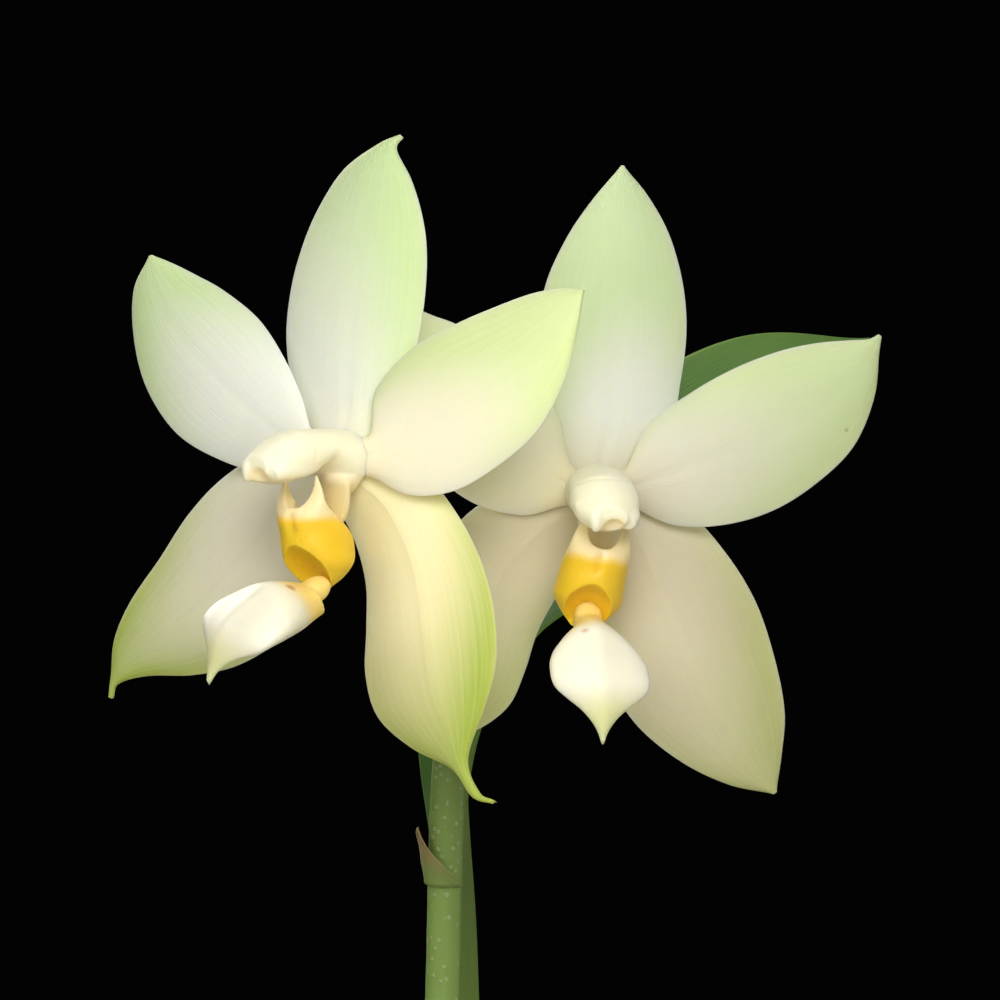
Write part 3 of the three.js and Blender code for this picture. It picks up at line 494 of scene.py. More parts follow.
class Value:
    """A socket of a node tree, whose sums and products add Math nodes."""

    def __init__(self, tree, socket):
        self.tree = tree
        self.socket = socket

    def __add__(self, other):
        return self.tree.math("ADD", self, other)

    def __radd__(self, other):
        return self.tree.math("ADD", other, self)

    def __sub__(self, other):
        return self.tree.math("SUBTRACT", self, other)

    def __rsub__(self, other):
        return self.tree.math("SUBTRACT", other, self)

    def __mul__(self, other):
        return self.tree.math("MULTIPLY", self, other)

    def __rmul__(self, other):
        return self.tree.math("MULTIPLY", other, self)

    def __truediv__(self, other):
        return self.tree.math("DIVIDE", self, other)

    def __rtruediv__(self, other):
        return self.tree.math("DIVIDE", other, self)

    def __abs__(self):
        return self.tree.math("ABSOLUTE", self)


class Tree:
    """Adds nodes to a node tree."""

    def __init__(self, tree):
        self.tree = tree

    def node(self, kind, settings=None, sockets=None, out=0):
        """A node of that kind, with its settings made first and then its sockets filled."""
        node = self.tree.nodes.new(kind)
        for key, setting in (settings or {}).items():
            setattr(node, key, setting)
        pairs = sockets.items() if isinstance(sockets, dict) else enumerate(sockets or [])
        for key, value in pairs:
            socket = node.inputs[key]
            if isinstance(value, Value):
                self.tree.links.new(value.socket, socket)
            elif socket.type == "RGBA":
                socket.default_value = (*value[:3], 1)
            else:
                socket.default_value = value
        return Value(self, node.outputs[out])

    def math(self, operation, *values):
        """Any Math node"""
        return self.node("ShaderNodeMath", {"operation": operation}, values)

    def vector(self, x=0.0, y=0.0, z=0.0):
        return self.node("ShaderNodeCombineXYZ", sockets=(x, y, z))

    def mark(self, name):
        """A number that the piece's points carry."""
        return self.node("ShaderNodeAttribute", {"attribute_name": name}, out="Fac")

    def place(self):
        return self.node("ShaderNodeTexCoord", out="Object")

    def height(self):
        return self.node("ShaderNodeSeparateXYZ", sockets=[self.place()], out="Z")

    def noise(self, place, scale, detail=3.0, roughness=0.5, distortion=0.0):
        """Soft noise from 0 to 1, with scale waves to a unit of the place."""
        sockets = {
            "Vector": place, "Scale": scale, "Detail": detail, "Roughness": roughness,
            "Distortion": distortion,
        }
        return self.node("ShaderNodeTexNoise", sockets=sockets)

    def cells(self, place, scale):
        """How far the place is from the middle of its cell, with scale cells to a unit."""
        return self.node("ShaderNodeTexVoronoi", sockets={"Vector": place, "Scale": scale})

    def stretched(self, place, share):
        """The place with its height scaled by a share, so that patterns on it are long or flat."""
        return self.node("ShaderNodeMapping", sockets={"Vector": place, "Scale": (1, 1, share)})

    def step(self, value, low, high):
        """0 below low and 1 above high, with a soft start and end."""
        settings = {"interpolation_type": "SMOOTHSTEP", "clamp": True}
        return self.node("ShaderNodeMapRange", settings, {0: value, 1: low, 2: high, 3: 0.0, 4: 1.0})

    def blend(self, share, first, second):
        """The first colour where share is 0, and the second where it is 1."""
        settings = {"data_type": "RGBA", "clamp_factor": True}
        return self.node("ShaderNodeMix", settings, {0: share, 6: first, 7: second}, out=2)

    def bump(self, height, distance):
        return self.node("ShaderNodeBump", sockets={"Height": height, "Distance": distance})


def finish(name, paint, settings, **fixed):
    """A material. What is the same all over is set on the shader, and paint adds what varies."""
    material = bpy.data.materials.new(name)
    material.use_nodes = True
    shader = material.node_tree.nodes["Principled BSDF"]
    for key, value in fixed.items():
        shader.inputs[key.replace("_", " ")].default_value = value
    for key, value in paint(Tree(material.node_tree), settings).items():
        material.node_tree.links.new(value.socket, shader.inputs[key])
    return material


def flesh(name, paint, settings, glow, **fixed):
    """A material for living tissue, which light enters to a depth of glow metres."""
    return finish(
        name, paint, settings, Subsurface_Weight=0.6, Subsurface_Radius=(1.0, 0.9, 0.55),
        Subsurface_Scale=glow, **fixed,
    )


def mix(a, b, t):
    return a + (b - a) * t


def ramp(low, high, value):
    """0 at low and 1 at high, with a soft start and end."""
    t = np.clip((value - low) / (high - low), 0, 1)
    return t * t * (3 - 2 * t)


def smooth(values, t):
    """The smooth curve through evenly spaced numbers or points, at t from 0 to 1."""
    v = np.asarray(values, float)
    t = np.asarray(t, float)
    last = len(v) - 1
    i = np.clip(np.floor(t * last).astype(int), 0, last - 1)
    u = t * last - i
    padded = np.concatenate([[2 * v[0] - v[1]], v, [2 * v[-1] - v[-2]]])
    a, b, c, d = (padded[i + k] for k in range(4))
    if v.ndim > 1:
        u = u[..., None]
    return b + 0.5 * u * (c - a + u * (2 * a - 5 * b + 4 * c - d + u * (3 * (b - c) + d - a)))


def unit(vectors):
    return vectors / np.linalg.norm(vectors, axis=-1, keepdims=True)


def turn_of(place):
    """The turn of a place, from its pitch, twist and yaw in degrees."""
    pitch, twist, yaw = (math.radians(a) for a in place["turn"])
    turn = Matrix.Rotation(yaw, 3, "Z") @ Matrix.Rotation(pitch, 3, "X") @ Matrix.Rotation(twist, 3, "Y")
    return np.array(turn)


def turned(points, place):
    """Points of a place's own frame, turned and moved to where the place is on the plant."""
    return np.asarray(points) @ turn_of(place).T + np.array(place["at"])


def unturned(points, place):
    """Points of the plant, as seen from the place's own frame."""
    return (np.asarray(points) - np.array(place["at"])) @ turn_of(place)


def seen(x, z, y):
    """Points at depth y that the eye sees at x and z of its plane."""
    spread = 1 + (y - EYE_PLANE) / EYE_DISTANCE
    return np.stack([EYE_X + x * spread, y + 0 * x, EYE_Z + z * spread], -1)


def bloom_centre(bloom):
    return seen(bloom["x"], bloom["z"], bloom["y"])


def placed(bloom, part):
    """The place of a bloom's column, tub or lobe on the plant."""
    return {"turn": bloom[part]["turn"], "at": bloom_centre(bloom) + bloom[part]["at"]}


def joined(shapes):
    """Points and faces of several shapes as those of one."""
    points, faces = [], []
    for shape, shape_faces in shapes:
        faces += [tuple(v + len(points) for v in face) for face in shape_faces]
        points += shape.tolist()
    return points, faces


def skin(rings):
    """Points and faces of a closed skin over rings of points, with a pole in each end ring."""
    count, sides, _ = rings.shape
    points = np.concatenate([rings.reshape(-1, 3), rings[:1].mean(1), rings[-1:].mean(1)])
    start = count * sides
    faces = []
    for k in range(sides):
        after = (k + 1) % sides
        faces.append((start, after, k))
        faces.append((start + 1, (count - 1) * sides + k, (count - 1) * sides + after))
        for i in range(count - 1):
            a, b = i * sides + k, i * sides + after
            faces.append((a, b, b + sides, a + sides))
    return points, faces


def ringed(shape, place, steps, sides):
    """A skin over flat rings. The shape's lists hold evenly spaced values along the axis, and
    place(across, up, t) puts the points of the ring at t where they belong."""
    t = np.linspace(0, 1, steps + 1)[:, None]
    turn = np.linspace(0, 2 * np.pi, sides, endpoint=False)[None, :]
    wide, high, rise = (smooth(shape[key], t) for key in ("wide", "high", "rise"))
    return skin(place(np.cos(turn) * wide, np.sin(turn) * high + rise, t + 0 * turn))


def ball(at, size, boxy=1.0):
    """A closed ball with that half size each way, or a round-edged box where boxy is under 1."""
    tilt = np.linspace(0, np.pi, 26)[1:-1, None]
    turn = np.linspace(0, 2 * np.pi, 32, endpoint=False)[None, :]
    shell = np.stack([np.sin(tilt) * np.cos(turn), np.sin(tilt) * np.sin(turn), np.cos(tilt) + 0 * turn], -1)
    points, faces = skin(np.sign(shell) * np.abs(shell) ** boxy)
    points[-2:] = [(0, 0, 1), (0, 0, -1)]
    return points * np.array(size) + np.array(at), faces


def swept(path, girth, steps, sides, ribs=0.0):
    """A closed shoot along a smooth path. ribs is the share by which six ribs stand out."""
    t = np.linspace(0, 1, steps + 1)
    line = smooth(path, t)
    ahead = unit(np.gradient(line, axis=0))
    side = np.cross(ahead[0], (0.3, 0.2, 0.9))  # no path starts that way
    turn = np.linspace(0, 2 * np.pi, sides, endpoint=False)[:, None]
    rings = []
    for centre, way, radius in zip(line, ahead, smooth(girth, t)):
        side = unit(side - way * (side @ way))
        other = np.cross(way, side)
        reach = radius * (1 + ribs * np.cos(6 * turn))
        rings.append(centre + reach * (np.cos(turn) * side + np.sin(turn) * other))
    return skin(np.array(rings))


def make_mesh(name, points, faces, marks=None, scale=MM):
    """An object at the origin with outward faces. marks are numbers that its points carry."""
    mesh = bpy.data.meshes.new(name)
    mesh.from_pydata((np.asarray(points) * scale).tolist(), [], faces)
    for key, values in (marks or {}).items():
        write_mark(mesh, key, values)
    shell = bmesh.new()
    shell.from_mesh(mesh)
    bmesh.ops.recalc_face_normals(shell, faces=shell.faces)
    shell.to_mesh(mesh)
    shell.free()
    mesh.polygons.foreach_set("use_smooth", [True] * len(mesh.polygons))
    obj = bpy.data.objects.new(name, mesh)
    bpy.context.scene.collection.objects.link(obj)
    return obj


def write_mark(mesh, key, values):
    layer = mesh.attributes.get(key) or mesh.attributes.new(key, "FLOAT", "POINT")
    layer.data.foreach_set("value", np.ascontiguousarray(values, np.float32).ravel())


def read_points(mesh):
    flat = np.zeros(len(mesh.vertices) * 3, np.float32)
    mesh.vertices.foreach_get("co", flat)
    return flat.reshape(-1, 3) / MM


def plain(obj):
    """Puts an object's evaluated mesh in place of its own mesh and modifiers."""
    bpy.context.view_layer.update()
    graph = bpy.context.evaluated_depsgraph_get()
    mesh = bpy.data.meshes.new_from_object(obj.evaluated_get(graph))
    obj.modifiers.clear()
    old = obj.data
    obj.data = mesh
    bpy.data.meshes.remove(old)
    mesh.name = obj.name


def press(body, depth):
    """Moves a finished mesh's points inwards, each by its own depth in millimetres."""
    mesh = body.data
    normals = np.array([normal.vector for normal in mesh.vertex_normals])
    moved = read_points(mesh) - normals * depth[:, None]
    mesh.vertices.foreach_set("co", (moved * MM).astype(np.float32).ravel())
    mesh.update()


def drop(*objects):
    for obj in objects:
        bpy.data.objects.remove(obj)


def carve(body, tools):
    """Adds modifiers that cut closed tools out of a body."""
    for tool in tools:
        cut = body.modifiers.new("cut", "BOOLEAN")
        cut.operation = "DIFFERENCE"
        cut.solver = "MANIFOLD"
        cut.object = tool


def weld(body, grain):
    """Adds a modifier that makes one skin, as fine as grain, of what overlaps."""
    remesh = body.modifiers.new("weld", "REMESH")
    remesh.mode = "VOXEL"
    remesh.voxel_size = grain


def settle(body, tools):
    """Ends a body that was made in millimetres: applies its modifiers and makes it real size."""
    plain(body)
    drop(*tools)
    body.data.transform(Matrix.Scale(MM, 4))
    body.data.polygons.foreach_set("use_smooth", [True] * len(body.data.polygons))


def fused(name, place, added, cut, grain, polish):
    """One soft body of overlapping closed shapes, with others cut away, and its points.

    Shapes and points are seen from the place. grain is how fine its skin is, in millimetres, and
    polish how often it is smoothed.
    """
    body = make_mesh(name, *joined([(turned(p, place), f) for p, f in added]), scale=1.0)
    tools = [make_mesh(f"{name}_cut", turned(p, place), f, scale=1.0) for p, f in cut]
    weld(body, grain)
    if tools:
        carve(body, tools)
        weld(body, grain)
    soften = body.modifiers.new("soften", "SMOOTH")
    soften.factor = 0.5
    soften.iterations = polish
    settle(body, tools)
    return body, unturned(read_points(body.data), place)


def stand_in(piece, slot, material, *nodes):
    """Gives a finished piece its material, and puts it on the plant in place of the nodes."""
    piece.data.materials.clear()
    piece.data.materials.append(material)
    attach(piece, "root")
    if nodes:
        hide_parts(*nodes)


def grid(rows, columns, crowding):
    """t from base to tip and s from -1 to 1 across, closer together at the tip and at both edges."""
    return np.meshgrid(
        1 - (1 - np.linspace(0, 1, rows + 1)) ** crowding,
        np.sin(np.linspace(-np.pi / 2, np.pi / 2, columns + 1)),
        indexing="ij",
    )


def wrapped(over, under):
    """Rings that run across a grid's upper face and back across its lower one."""
    return np.concatenate([over, under[:, -2:0:-1]], 1)


def blade(surface, thick, rows, columns, relief=None):
    """Points, faces and marks of a leaf or tepal: a closed skin that thins to a round margin.

    surface(t, s) is its middle surface, with t from base to tip and s from -1 to 1 across.
    relief(t, s, front) is what stands out of each face.
    """
    t, s = grid(rows, columns, 1.5)
    along = surface(np.minimum(t + STEP, 1), s) - surface(np.maximum(t - STEP, 0), s)
    across = surface(t, np.minimum(s + STEP, 1)) - surface(t, np.maximum(s - STEP, -1))
    normal = unit(np.cross(across, along))
    middle = surface(t, s)
    half = thick(t, s) / 2 * np.sqrt(np.clip(1 - np.abs(s) ** 5, 0, 1))
    sides = []
    for face in (1, -1):
        rise = relief(t, s, face > 0) * (1 - s**8) if relief else 0
        sides.append(middle + normal * (face * (half + rise))[..., None])

    def mark(over, under):
        """A number for each point of the rings and for the poles, which get the mean of their ring."""
        ring = wrapped(over, under)
        return np.concatenate([ring.ravel(), [ring[0].mean(), ring[-1].mean()]])

    marks = {"along": mark(t, t), "across": mark(s, s), "front": mark(np.ones_like(t), np.zeros_like(t))}
    return *skin(wrapped(*sides)), marks


def pot_profile(pot):
    """Outline of the pot from the middle of its foot round to the middle of its floor."""
    foot, top, rim = (v / MM for v in (pot.foot_radius, pot.top_radius, pot.rim_radius))
    height, wall, floor = (v / MM for v in (pot.height, pot.wall, pot.floor))
    rim_foot = height - pot.rim_height / MM
    slope = (top - foot) / height
    # radius and height of each corner, and how far it is rounded
    corners = [
        (0, 0, 0),
        (foot, 0, 1.6),
        (foot + slope * rim_foot, rim_foot, 0.6),
        (rim - 0.8, rim_foot + 0.4, 2),
        (rim, height, 2),
        (top - wall, height, 1.8),
        (foot + slope * floor - wall, floor, 2.5),
        (0, floor, 0),
    ]
    outline = []
    for k, (r, z, soft) in enumerate(corners):
        corner = np.array((r, z), float)
        if not soft:
            outline.append(corner)
            continue
        before = corner + unit(np.array(corners[k - 1][:2]) - corner) * soft
        after = corner + unit(np.array(corners[k + 1][:2]) - corner) * soft
        for u in np.linspace(0, 1, 7):
            outline.append(mix(mix(before, corner, u), mix(corner, after, u), u))
    return np.array(outline)


def lathe(profile, sides, uneven=0.0):
    """A closed solid turned about the Z axis, and out of round by a share of its radius.

    The profile starts and ends on the axis.
    """
    turn = np.linspace(0, 2 * np.pi, sides, endpoint=False)[None, :]
    inner = profile[1:-1]
    radius = inner[:, :1] * (1 + uneven * np.sin(3 * turn + inner[:, 1:] * 0.05))
    height = inner[:, 1:] + 0 * turn
    points, faces = skin(np.stack([radius * np.cos(turn), radius * np.sin(turn), height], -1))
    points[-2:] = [(0, 0, profile[0][1]), (0, 0, profile[-1][1])]
    return points, faces


def finer(profile, gap):
    """The profile with points added so that none are further apart than gap."""
    made = [profile[0]]
    for a, b in zip(profile, profile[1:]):
        count = max(1, int(np.ceil(np.linalg.norm(b - a) / gap)))
        made += [mix(a, b, k / count) for k in range(1, count + 1)]
    return np.array(made)


def clay_finish(tree, pot):
    """Fired clay with throwing rings, pits, damp streaks and lime bloom"""
    place = tree.place()
    z = tree.height() / MM
    grain = tree.noise(place, 900, 6, 0.65)
    cloud = tree.noise(place, 32, 4, 0.6)
    rings = tree.noise(tree.vector(0.0, 0.0, z), 1.7, 4, 0.6)
    pits = tree.step(tree.cells(place, 700), 0.22, 0.08) * tree.step(tree.noise(place, 90, 2), 0.5, 0.62)
    streak = tree.noise(tree.stretched(place, 0.14), 60, 5, 0.6)
    damp = tree.step(streak + (40 - z) * 0.006, 0.5, 0.72)
    # lime gathers on the rim, at the foot and under the ledge of the rim, which are at these heights
    edge = tree.step(z, 84, 92) * 0.35 + tree.step(z, 14, 0) * 0.4 + tree.step(abs(z - 72), 5, 0) * 0.2
    lime = tree.step(cloud + edge * 0.6 + grain * 0.25, 0.72, 0.98)
    shade = tree.blend(tree.step(cloud, 0.35, 0.7) * 0.35, pot.clay, pot.clay_dark)
    shade = tree.blend(damp * 0.55, shade, pot.clay_dark)
    shade = tree.blend(grain * 0.22, shade, PALE_GRAIN)
    shade = tree.blend(lime * 0.75, shade, pot.lime)
    shade = tree.blend(pits * 0.5, shade, CLAY_PIT)
    relief = grain * 0.35 + rings * 0.9 - pits * 0.8 + lime * 0.12
    return {
        "Base Color": shade,
        "Roughness": 0.92 - damp * 0.2 + lime * 0.04,
        "Normal": tree.bump(relief, 0.00025),
    }


def bark_finish(tree, pot):
    """Layered bark, each chip with its own shade"""
    place = tree.place()
    own = tree.mark("own")
    layers = tree.noise(tree.stretched(place, 5), 170, 6, 0.7, 0.8)
    crumb = tree.noise(place, 1500, 5, 0.7)
    shade = tree.blend(own, pot.bark, DARK_BARK)
    shade = tree.blend(tree.step(layers, 0.42, 0.7) * (0.35 + own * 0.5), shade, pot.bark_light)
    shade = tree.blend(tree.step(crumb, 0.6, 0.8) * 0.4, shade, BARK_DUST)
    return {
        "Base Color": shade,
        "Roughness": 0.8 + crumb * 0.15,
        "Normal": tree.bump(layers * 0.8 + crumb * 0.4, 0.0007),
    }


def leaf_finish(tree, foliage):
    """Leaves, glossy and mottled above, paler and flushed below"""
    along, across, front = tree.mark("along"), tree.mark("across"), tree.mark("front")
    place = tree.place()
    fibres = tree.noise(tree.vector(across * 26, along * 3, front * 5), 1.0, 4, 0.6)
    fine = tree.noise(tree.vector(across * 90, along * 9, front * 5), 1.0, 3, 0.6)
    cloud = tree.noise(place, 55, 4, 0.55)
    flecks = tree.step(tree.noise(place, 420, 4, 0.6), 0.56, 0.74)
    midrib = tree.step(abs(across), 0.05, 0.0)
    margin = tree.step(abs(across), 0.93, 1.0)
    young = tree.step(along, 0.22, 0.0)
    shade = tree.blend(tree.step(cloud, 0.35, 0.7) * 0.35, foliage.leaf_green, foliage.leaf_light)
    shade = tree.blend(fibres * 0.22, shade, LEAF_VEIN)
    shade = tree.blend(flecks * 0.16, shade, foliage.leaf_light)
    shade = tree.blend(midrib * 0.3 + margin * 0.45 + young * 0.4, shade, foliage.leaf_light)
    back = tree.blend(fibres * 0.3, foliage.leaf_back, foliage.leaf_light)
    back = tree.blend(tree.step(cloud, 0.5, 0.75) * 0.25, back, LEAF_FLUSH)
    return {
        "Base Color": tree.blend(front, back, shade),
        "Roughness": 0.38 + cloud * 0.14 + (1 - front) * 0.14,
        "Normal": tree.bump(fibres * 0.7 + fine * 0.3 + flecks * 0.08, 0.00022),
    }


def shoot_finish(tree, foliage):
    """Spike and pedicels, with pale dots and a dark flush"""
    place = tree.place()
    cloud = tree.noise(place, 90, 4, 0.6)
    specks = tree.step(tree.cells(place, 900), 0.3, 0.16)
    flush = tree.step(tree.noise(place, 34, 3, 0.6), 0.46, 0.68)
    shade = tree.blend(cloud * 0.5, foliage.spike_green, foliage.leaf_light)
    shade = tree.blend(flush * 0.45, shade, foliage.spike_dark)
    shade = tree.blend(specks * 0.3, shade, SHOOT_DOT)
    return {
        "Base Color": shade,
        "Roughness": 0.42 + cloud * 0.16,
        "Normal": tree.bump(cloud * 0.5 + specks * 0.5, 0.00012),
    }


def bract_finish(tree, foliage):
    """Bracts, green where they clasp the spike and dry at the tip"""
    along, across = tree.mark("along"), tree.mark("across")
    fibres = tree.noise(tree.vector(across * 12, along * 2, 0.0), 1.0, 4, 0.6)
    shade = tree.blend(tree.step(along, 0.1, 0.75), foliage.spike_green, foliage.bract)
    shade = tree.blend(fibres * 0.45, shade, foliage.spike_dark)
    return {
        "Base Color": shade,
        "Roughness": 0.6 + fibres * 0.2,
        "Normal": tree.bump(fibres, 0.0001),
    }


def root_finish(tree, foliage):
    """Roots, silver where dry, with green damp parts and tips"""
    along = tree.mark("along")
    place = tree.place()
    cloud = tree.noise(place, 60, 5, 0.6)
    scurf = tree.noise(place, 1300, 5, 0.7)
    tip = tree.step(along, 0.86, 0.97)
    damp = tree.step(cloud, 0.5, 0.68)
    shade = tree.blend(damp * 0.65, foliage.root_silver, foliage.root_green)
    shade = tree.blend(tree.step(scurf, 0.52, 0.75) * 0.5, shade, ROOT_SCURF)
    shade = tree.blend(tree.step(tree.noise(place, 210, 4), 0.58, 0.75) * 0.4, shade, ROOT_STAIN)
    shade = tree.blend(tip, shade, foliage.root_green)
    return {
        "Base Color": shade,
        "Roughness": 0.85 - tip * 0.4,
        "Normal": tree.bump(scurf * (1 - tip) + cloud, 0.00025),
    }


def stem_finish(tree, foliage):
    """The short stem with its dry leaf bases"""
    place = tree.place()
    z = tree.height() / MM
    fibres = tree.noise(tree.stretched(place, 0.2), 700, 5, 0.65)
    dry = tree.step(tree.noise(place, 80, 4), 0.42, 0.66)
    shade = tree.blend(dry * 0.8, foliage.spike_green, foliage.bract)
    shade = tree.blend(tree.step(z, 90, 82) * 0.7, shade, foliage.spike_dark)
    shade = tree.blend(fibres * 0.35, shade, foliage.spike_dark)
    return {
        "Base Color": shade,
        "Roughness": 0.6 + dry * 0.25,
        "Normal": tree.bump(fibres, 0.0003),
    }


def tepal_finish(tree, bloom):
    """Sepals and petals. Their points carry how green and warm they are, and how beige, which is partly
    their own dull tone and partly painted shade
    """
    speck = tuple(seen(*SPECK) * MM)
    along, across = tree.mark("along"), tree.mark("across")
    green, warm, dusk = tree.mark("green"), tree.mark("warm"), tree.mark("dusk")
    place = tree.place()
    fibres = tree.noise(tree.vector(across * 17, along * 1.6, 0.0), 1.0, 3, 0.55)
    fine = tree.noise(tree.vector(across * 70, along * 6, 0.0), 1.0, 3, 0.6)
    skin_cells = tree.noise(place, 2600, 3, 0.6)
    cloud = tree.noise(place, 120, 3, 0.5)
    shade = tree.blend(warm + (cloud - 0.5) * 0.15, bloom.white, bloom.cream)
    # Blending towards beige: partly the tepals' own dull tone, partly painted shade on the lower sepals and
    # near the column
    shade = tree.blend(dusk * (0.85 + cloud * 0.3), shade, bloom.beige_and_shade)
    flush = tree.blend(tree.mark("low"), bloom.green, bloom.low_green)
    shade = tree.blend(green * (0.72 + fibres * 0.5), shade, flush)
    shade = tree.blend(tree.step(fine, 0.5, 0.8) * 0.12, shade, bloom.white)
    far = tree.node("ShaderNodeVectorMath", {"operation": "DISTANCE"}, (place, speck), out="Value")
    shade = tree.blend(tree.step(far, 0.0005, 0.00025) * 0.6, shade, PETAL_SPECK)
    return {
        "Base Color": shade,
        "Roughness": 0.46 + cloud * 0.12,
        "Normal": tree.bump(fibres * 0.5 + fine * 0.2 + skin_cells * 0.15, 0.00007),
    }


def column_finish(tree, bloom):
    """Column, cream with a warmer hollow and a foot darkened partly by painted shade"""
    hollow, foot = tree.mark("hollow"), tree.mark("foot")
    place = tree.place()
    cloud = tree.noise(place, 260, 3, 0.5)
    skin_cells = tree.noise(place, 3000, 3, 0.6)
    shade = tree.blend(cloud * 0.3, bloom.column, bloom.cream)
    shade = tree.blend(hollow * (0.4 + cloud * 0.5), shade, bloom.blush)
    # Painted shade on the foot, low in the tub's hollow, with some dull tone of its own
    shade = tree.blend(foot, shade, bloom.foot)
    return {
        "Base Color": shade,
        "Roughness": 0.36 + cloud * 0.12 - hollow * 0.12,
        "Normal": tree.bump(cloud * 0.4 + skin_cells * 0.15, 0.0001),
    }


def tub_finish(tree, bloom):
    """Side lobes of the lip, yellow under a pale collar, with painted shade in the groove, on the left side
    and along the seam
    """
    height, hollow, seam = tree.mark("height"), tree.mark("hollow"), tree.mark("seam")
    place = tree.place()
    cloud = tree.noise(place, 300, 3, 0.5)
    specks = tree.step(tree.cells(place, 1500), 0.32, 0.12) * hollow
    rim = tree.step(height + (cloud - 0.5) * 0.9, -3.9, -2.5)
    # The hollow mark is painted shade in the groove and on the left side
    shade = tree.blend(cloud * 0.15 + hollow * 0.55, bloom.yellow, bloom.deep_yellow_and_shade)
    shade = tree.blend(specks * 0.25, shade, bloom.callus)
    shade = tree.blend(rim, shade, bloom.collar)
    # The seam is a line of painted shade down the crease
    shade = tree.blend(seam * 0.35, shade, bloom.deep_yellow_and_shade)
    return {
        "Base Color": shade,
        "Roughness": 0.36 + cloud * 0.12,
        "Normal": tree.bump(cloud, 0.0001),
    }


def lobe_finish(tree, bloom):
    """Middle lobe of the lip, white with a yellow claw, a brown spot and a green tooth"""
    along, claw, spot = tree.mark("along"), tree.mark("claw"), tree.mark("spot")
    place = tree.place()
    cloud = tree.noise(place, 260, 3, 0.5)
    skin_cells = tree.noise(place, 2600, 3, 0.6)
    shade = tree.blend(cloud * 0.25, bloom.lip_white, bloom.cream)
    shade = tree.blend(tree.step(along, 0.68, 0.92) * 0.8, shade, bloom.lip_tip)
    shade = tree.blend(claw * 0.75, shade, bloom.yellow)
    shade = tree.blend(spot, shade, bloom.callus)
    return {
        "Base Color": shade,
        "Roughness": 0.38 + cloud * 0.1,
        "Normal": tree.bump(cloud * 0.5 + skin_cells * 0.15, 0.0001),
    }


def floor_finish(tree, stage):
    """A pale floor with faint clouds"""
    cloud = tree.noise(tree.place(), 6, 3)
    return {"Base Color": tree.blend(cloud * 0.1, stage.floor, FLOOR_CLOUD)}


def nodes_modifier(obj, name, build, inputs):
    """Adds a Geometry Nodes modifier whose tree build makes, and sets its inputs by identifier."""
    group = bpy.data.node_groups.new(name, "GeometryNodeTree")
    group.interface.new_socket("Geometry", in_out="INPUT", socket_type="NodeSocketGeometry")
    group.interface.new_socket("Geometry", in_out="OUTPUT", socket_type="NodeSocketGeometry")
    sockets = {}
    for key, (kind, _) in inputs.items():
        sockets[key] = group.interface.new_socket(key, in_out="INPUT", socket_type=kind)
    tree = Tree(group)
    entry = group.nodes.new("NodeGroupInput")
    given = {key: Value(tree, entry.outputs[key]) for key in ["Geometry", *inputs]}
    leave = group.nodes.new("NodeGroupOutput")
    group.links.new(build(tree, given).socket, leave.inputs[0])
    modifier = obj.modifiers.new(name, "NODES")
    modifier.node_group = group
    for key, (_, value) in inputs.items():
        modifier[sockets[key].identifier] = value


def strand_tree(tree, given):
    """Round strands along the lines of a mesh, with a rough skin."""
    line = tree.node("GeometryNodeMeshToCurve", sockets=[given["Geometry"]])
    girth = tree.node("GeometryNodeInputNamedAttribute", {"data_type": "FLOAT"}, ["girth"])
    round_ring = {"Resolution": given["Sides"], "Radius": 1.0}
    ring = tree.node("GeometryNodeCurvePrimitiveCircle", sockets=round_ring)
    body = tree.node("GeometryNodeCurveToMesh", sockets=[line, ring, girth, True])
    place = tree.node("GeometryNodeInputPosition")
    rough = tree.noise(place, given["Bumps per metre"], 3.0, 0.55)
    normal = tree.node("GeometryNodeInputNormal")
    push = tree.node(
        "ShaderNodeVectorMath", {"operation": "SCALE"},
        {0: normal, 3: (rough - 0.5) * given["Bump height"] * girth / given["Full girth"]},
    )
    body = tree.node("GeometryNodeSetPosition", sockets={"Geometry": body, "Offset": push})
    body = tree.node("GeometryNodeSetShadeSmooth", sockets=[body])
    body = tree.node("GeometryNodeRealizeInstances", sockets=[body])
    return tree.node("GeometryNodeSetMaterial", sockets={"Geometry": body, "Material": given["Material"]})


def strands(name, lines, material, sides, bump, pitch):
    """A piece of strands. lines are paths with their girths and number of steps, in millimetres.

    bump is how high the bumps of their skin are, and pitch how many there are to a metre.
    """
    points, edges, girths, along = [], [], [], []
    for path, girth, steps in lines:
        t = np.linspace(0, 1, steps + 1)
        base = len(points)
        radius = smooth(girth, t)
        radius[[0, -1]] *= 0.35  # ends are narrowed to close softly
        points += (smooth(path, t) * MM).tolist()
        girths += (radius * MM).tolist()
        along += t.tolist()
        edges += [(base + k, base + k + 1) for k in range(steps)]
    mesh = bpy.data.meshes.new(name)
    mesh.from_pydata(points, edges, [])
    write_mark(mesh, "girth", girths)
    write_mark(mesh, "along", along)
    obj = bpy.data.objects.new(name, mesh)
    bpy.context.scene.collection.objects.link(obj)
    nodes_modifier(obj, name, strand_tree, {
        "Sides": ("NodeSocketInt", sides),
        "Bump height": ("NodeSocketFloat", bump * MM),
        "Bumps per metre": ("NodeSocketFloat", pitch),
        "Full girth": ("NodeSocketFloat", max(girths)),
        "Material": ("NodeSocketMaterial", material),
    })
    plain(obj)
    return obj


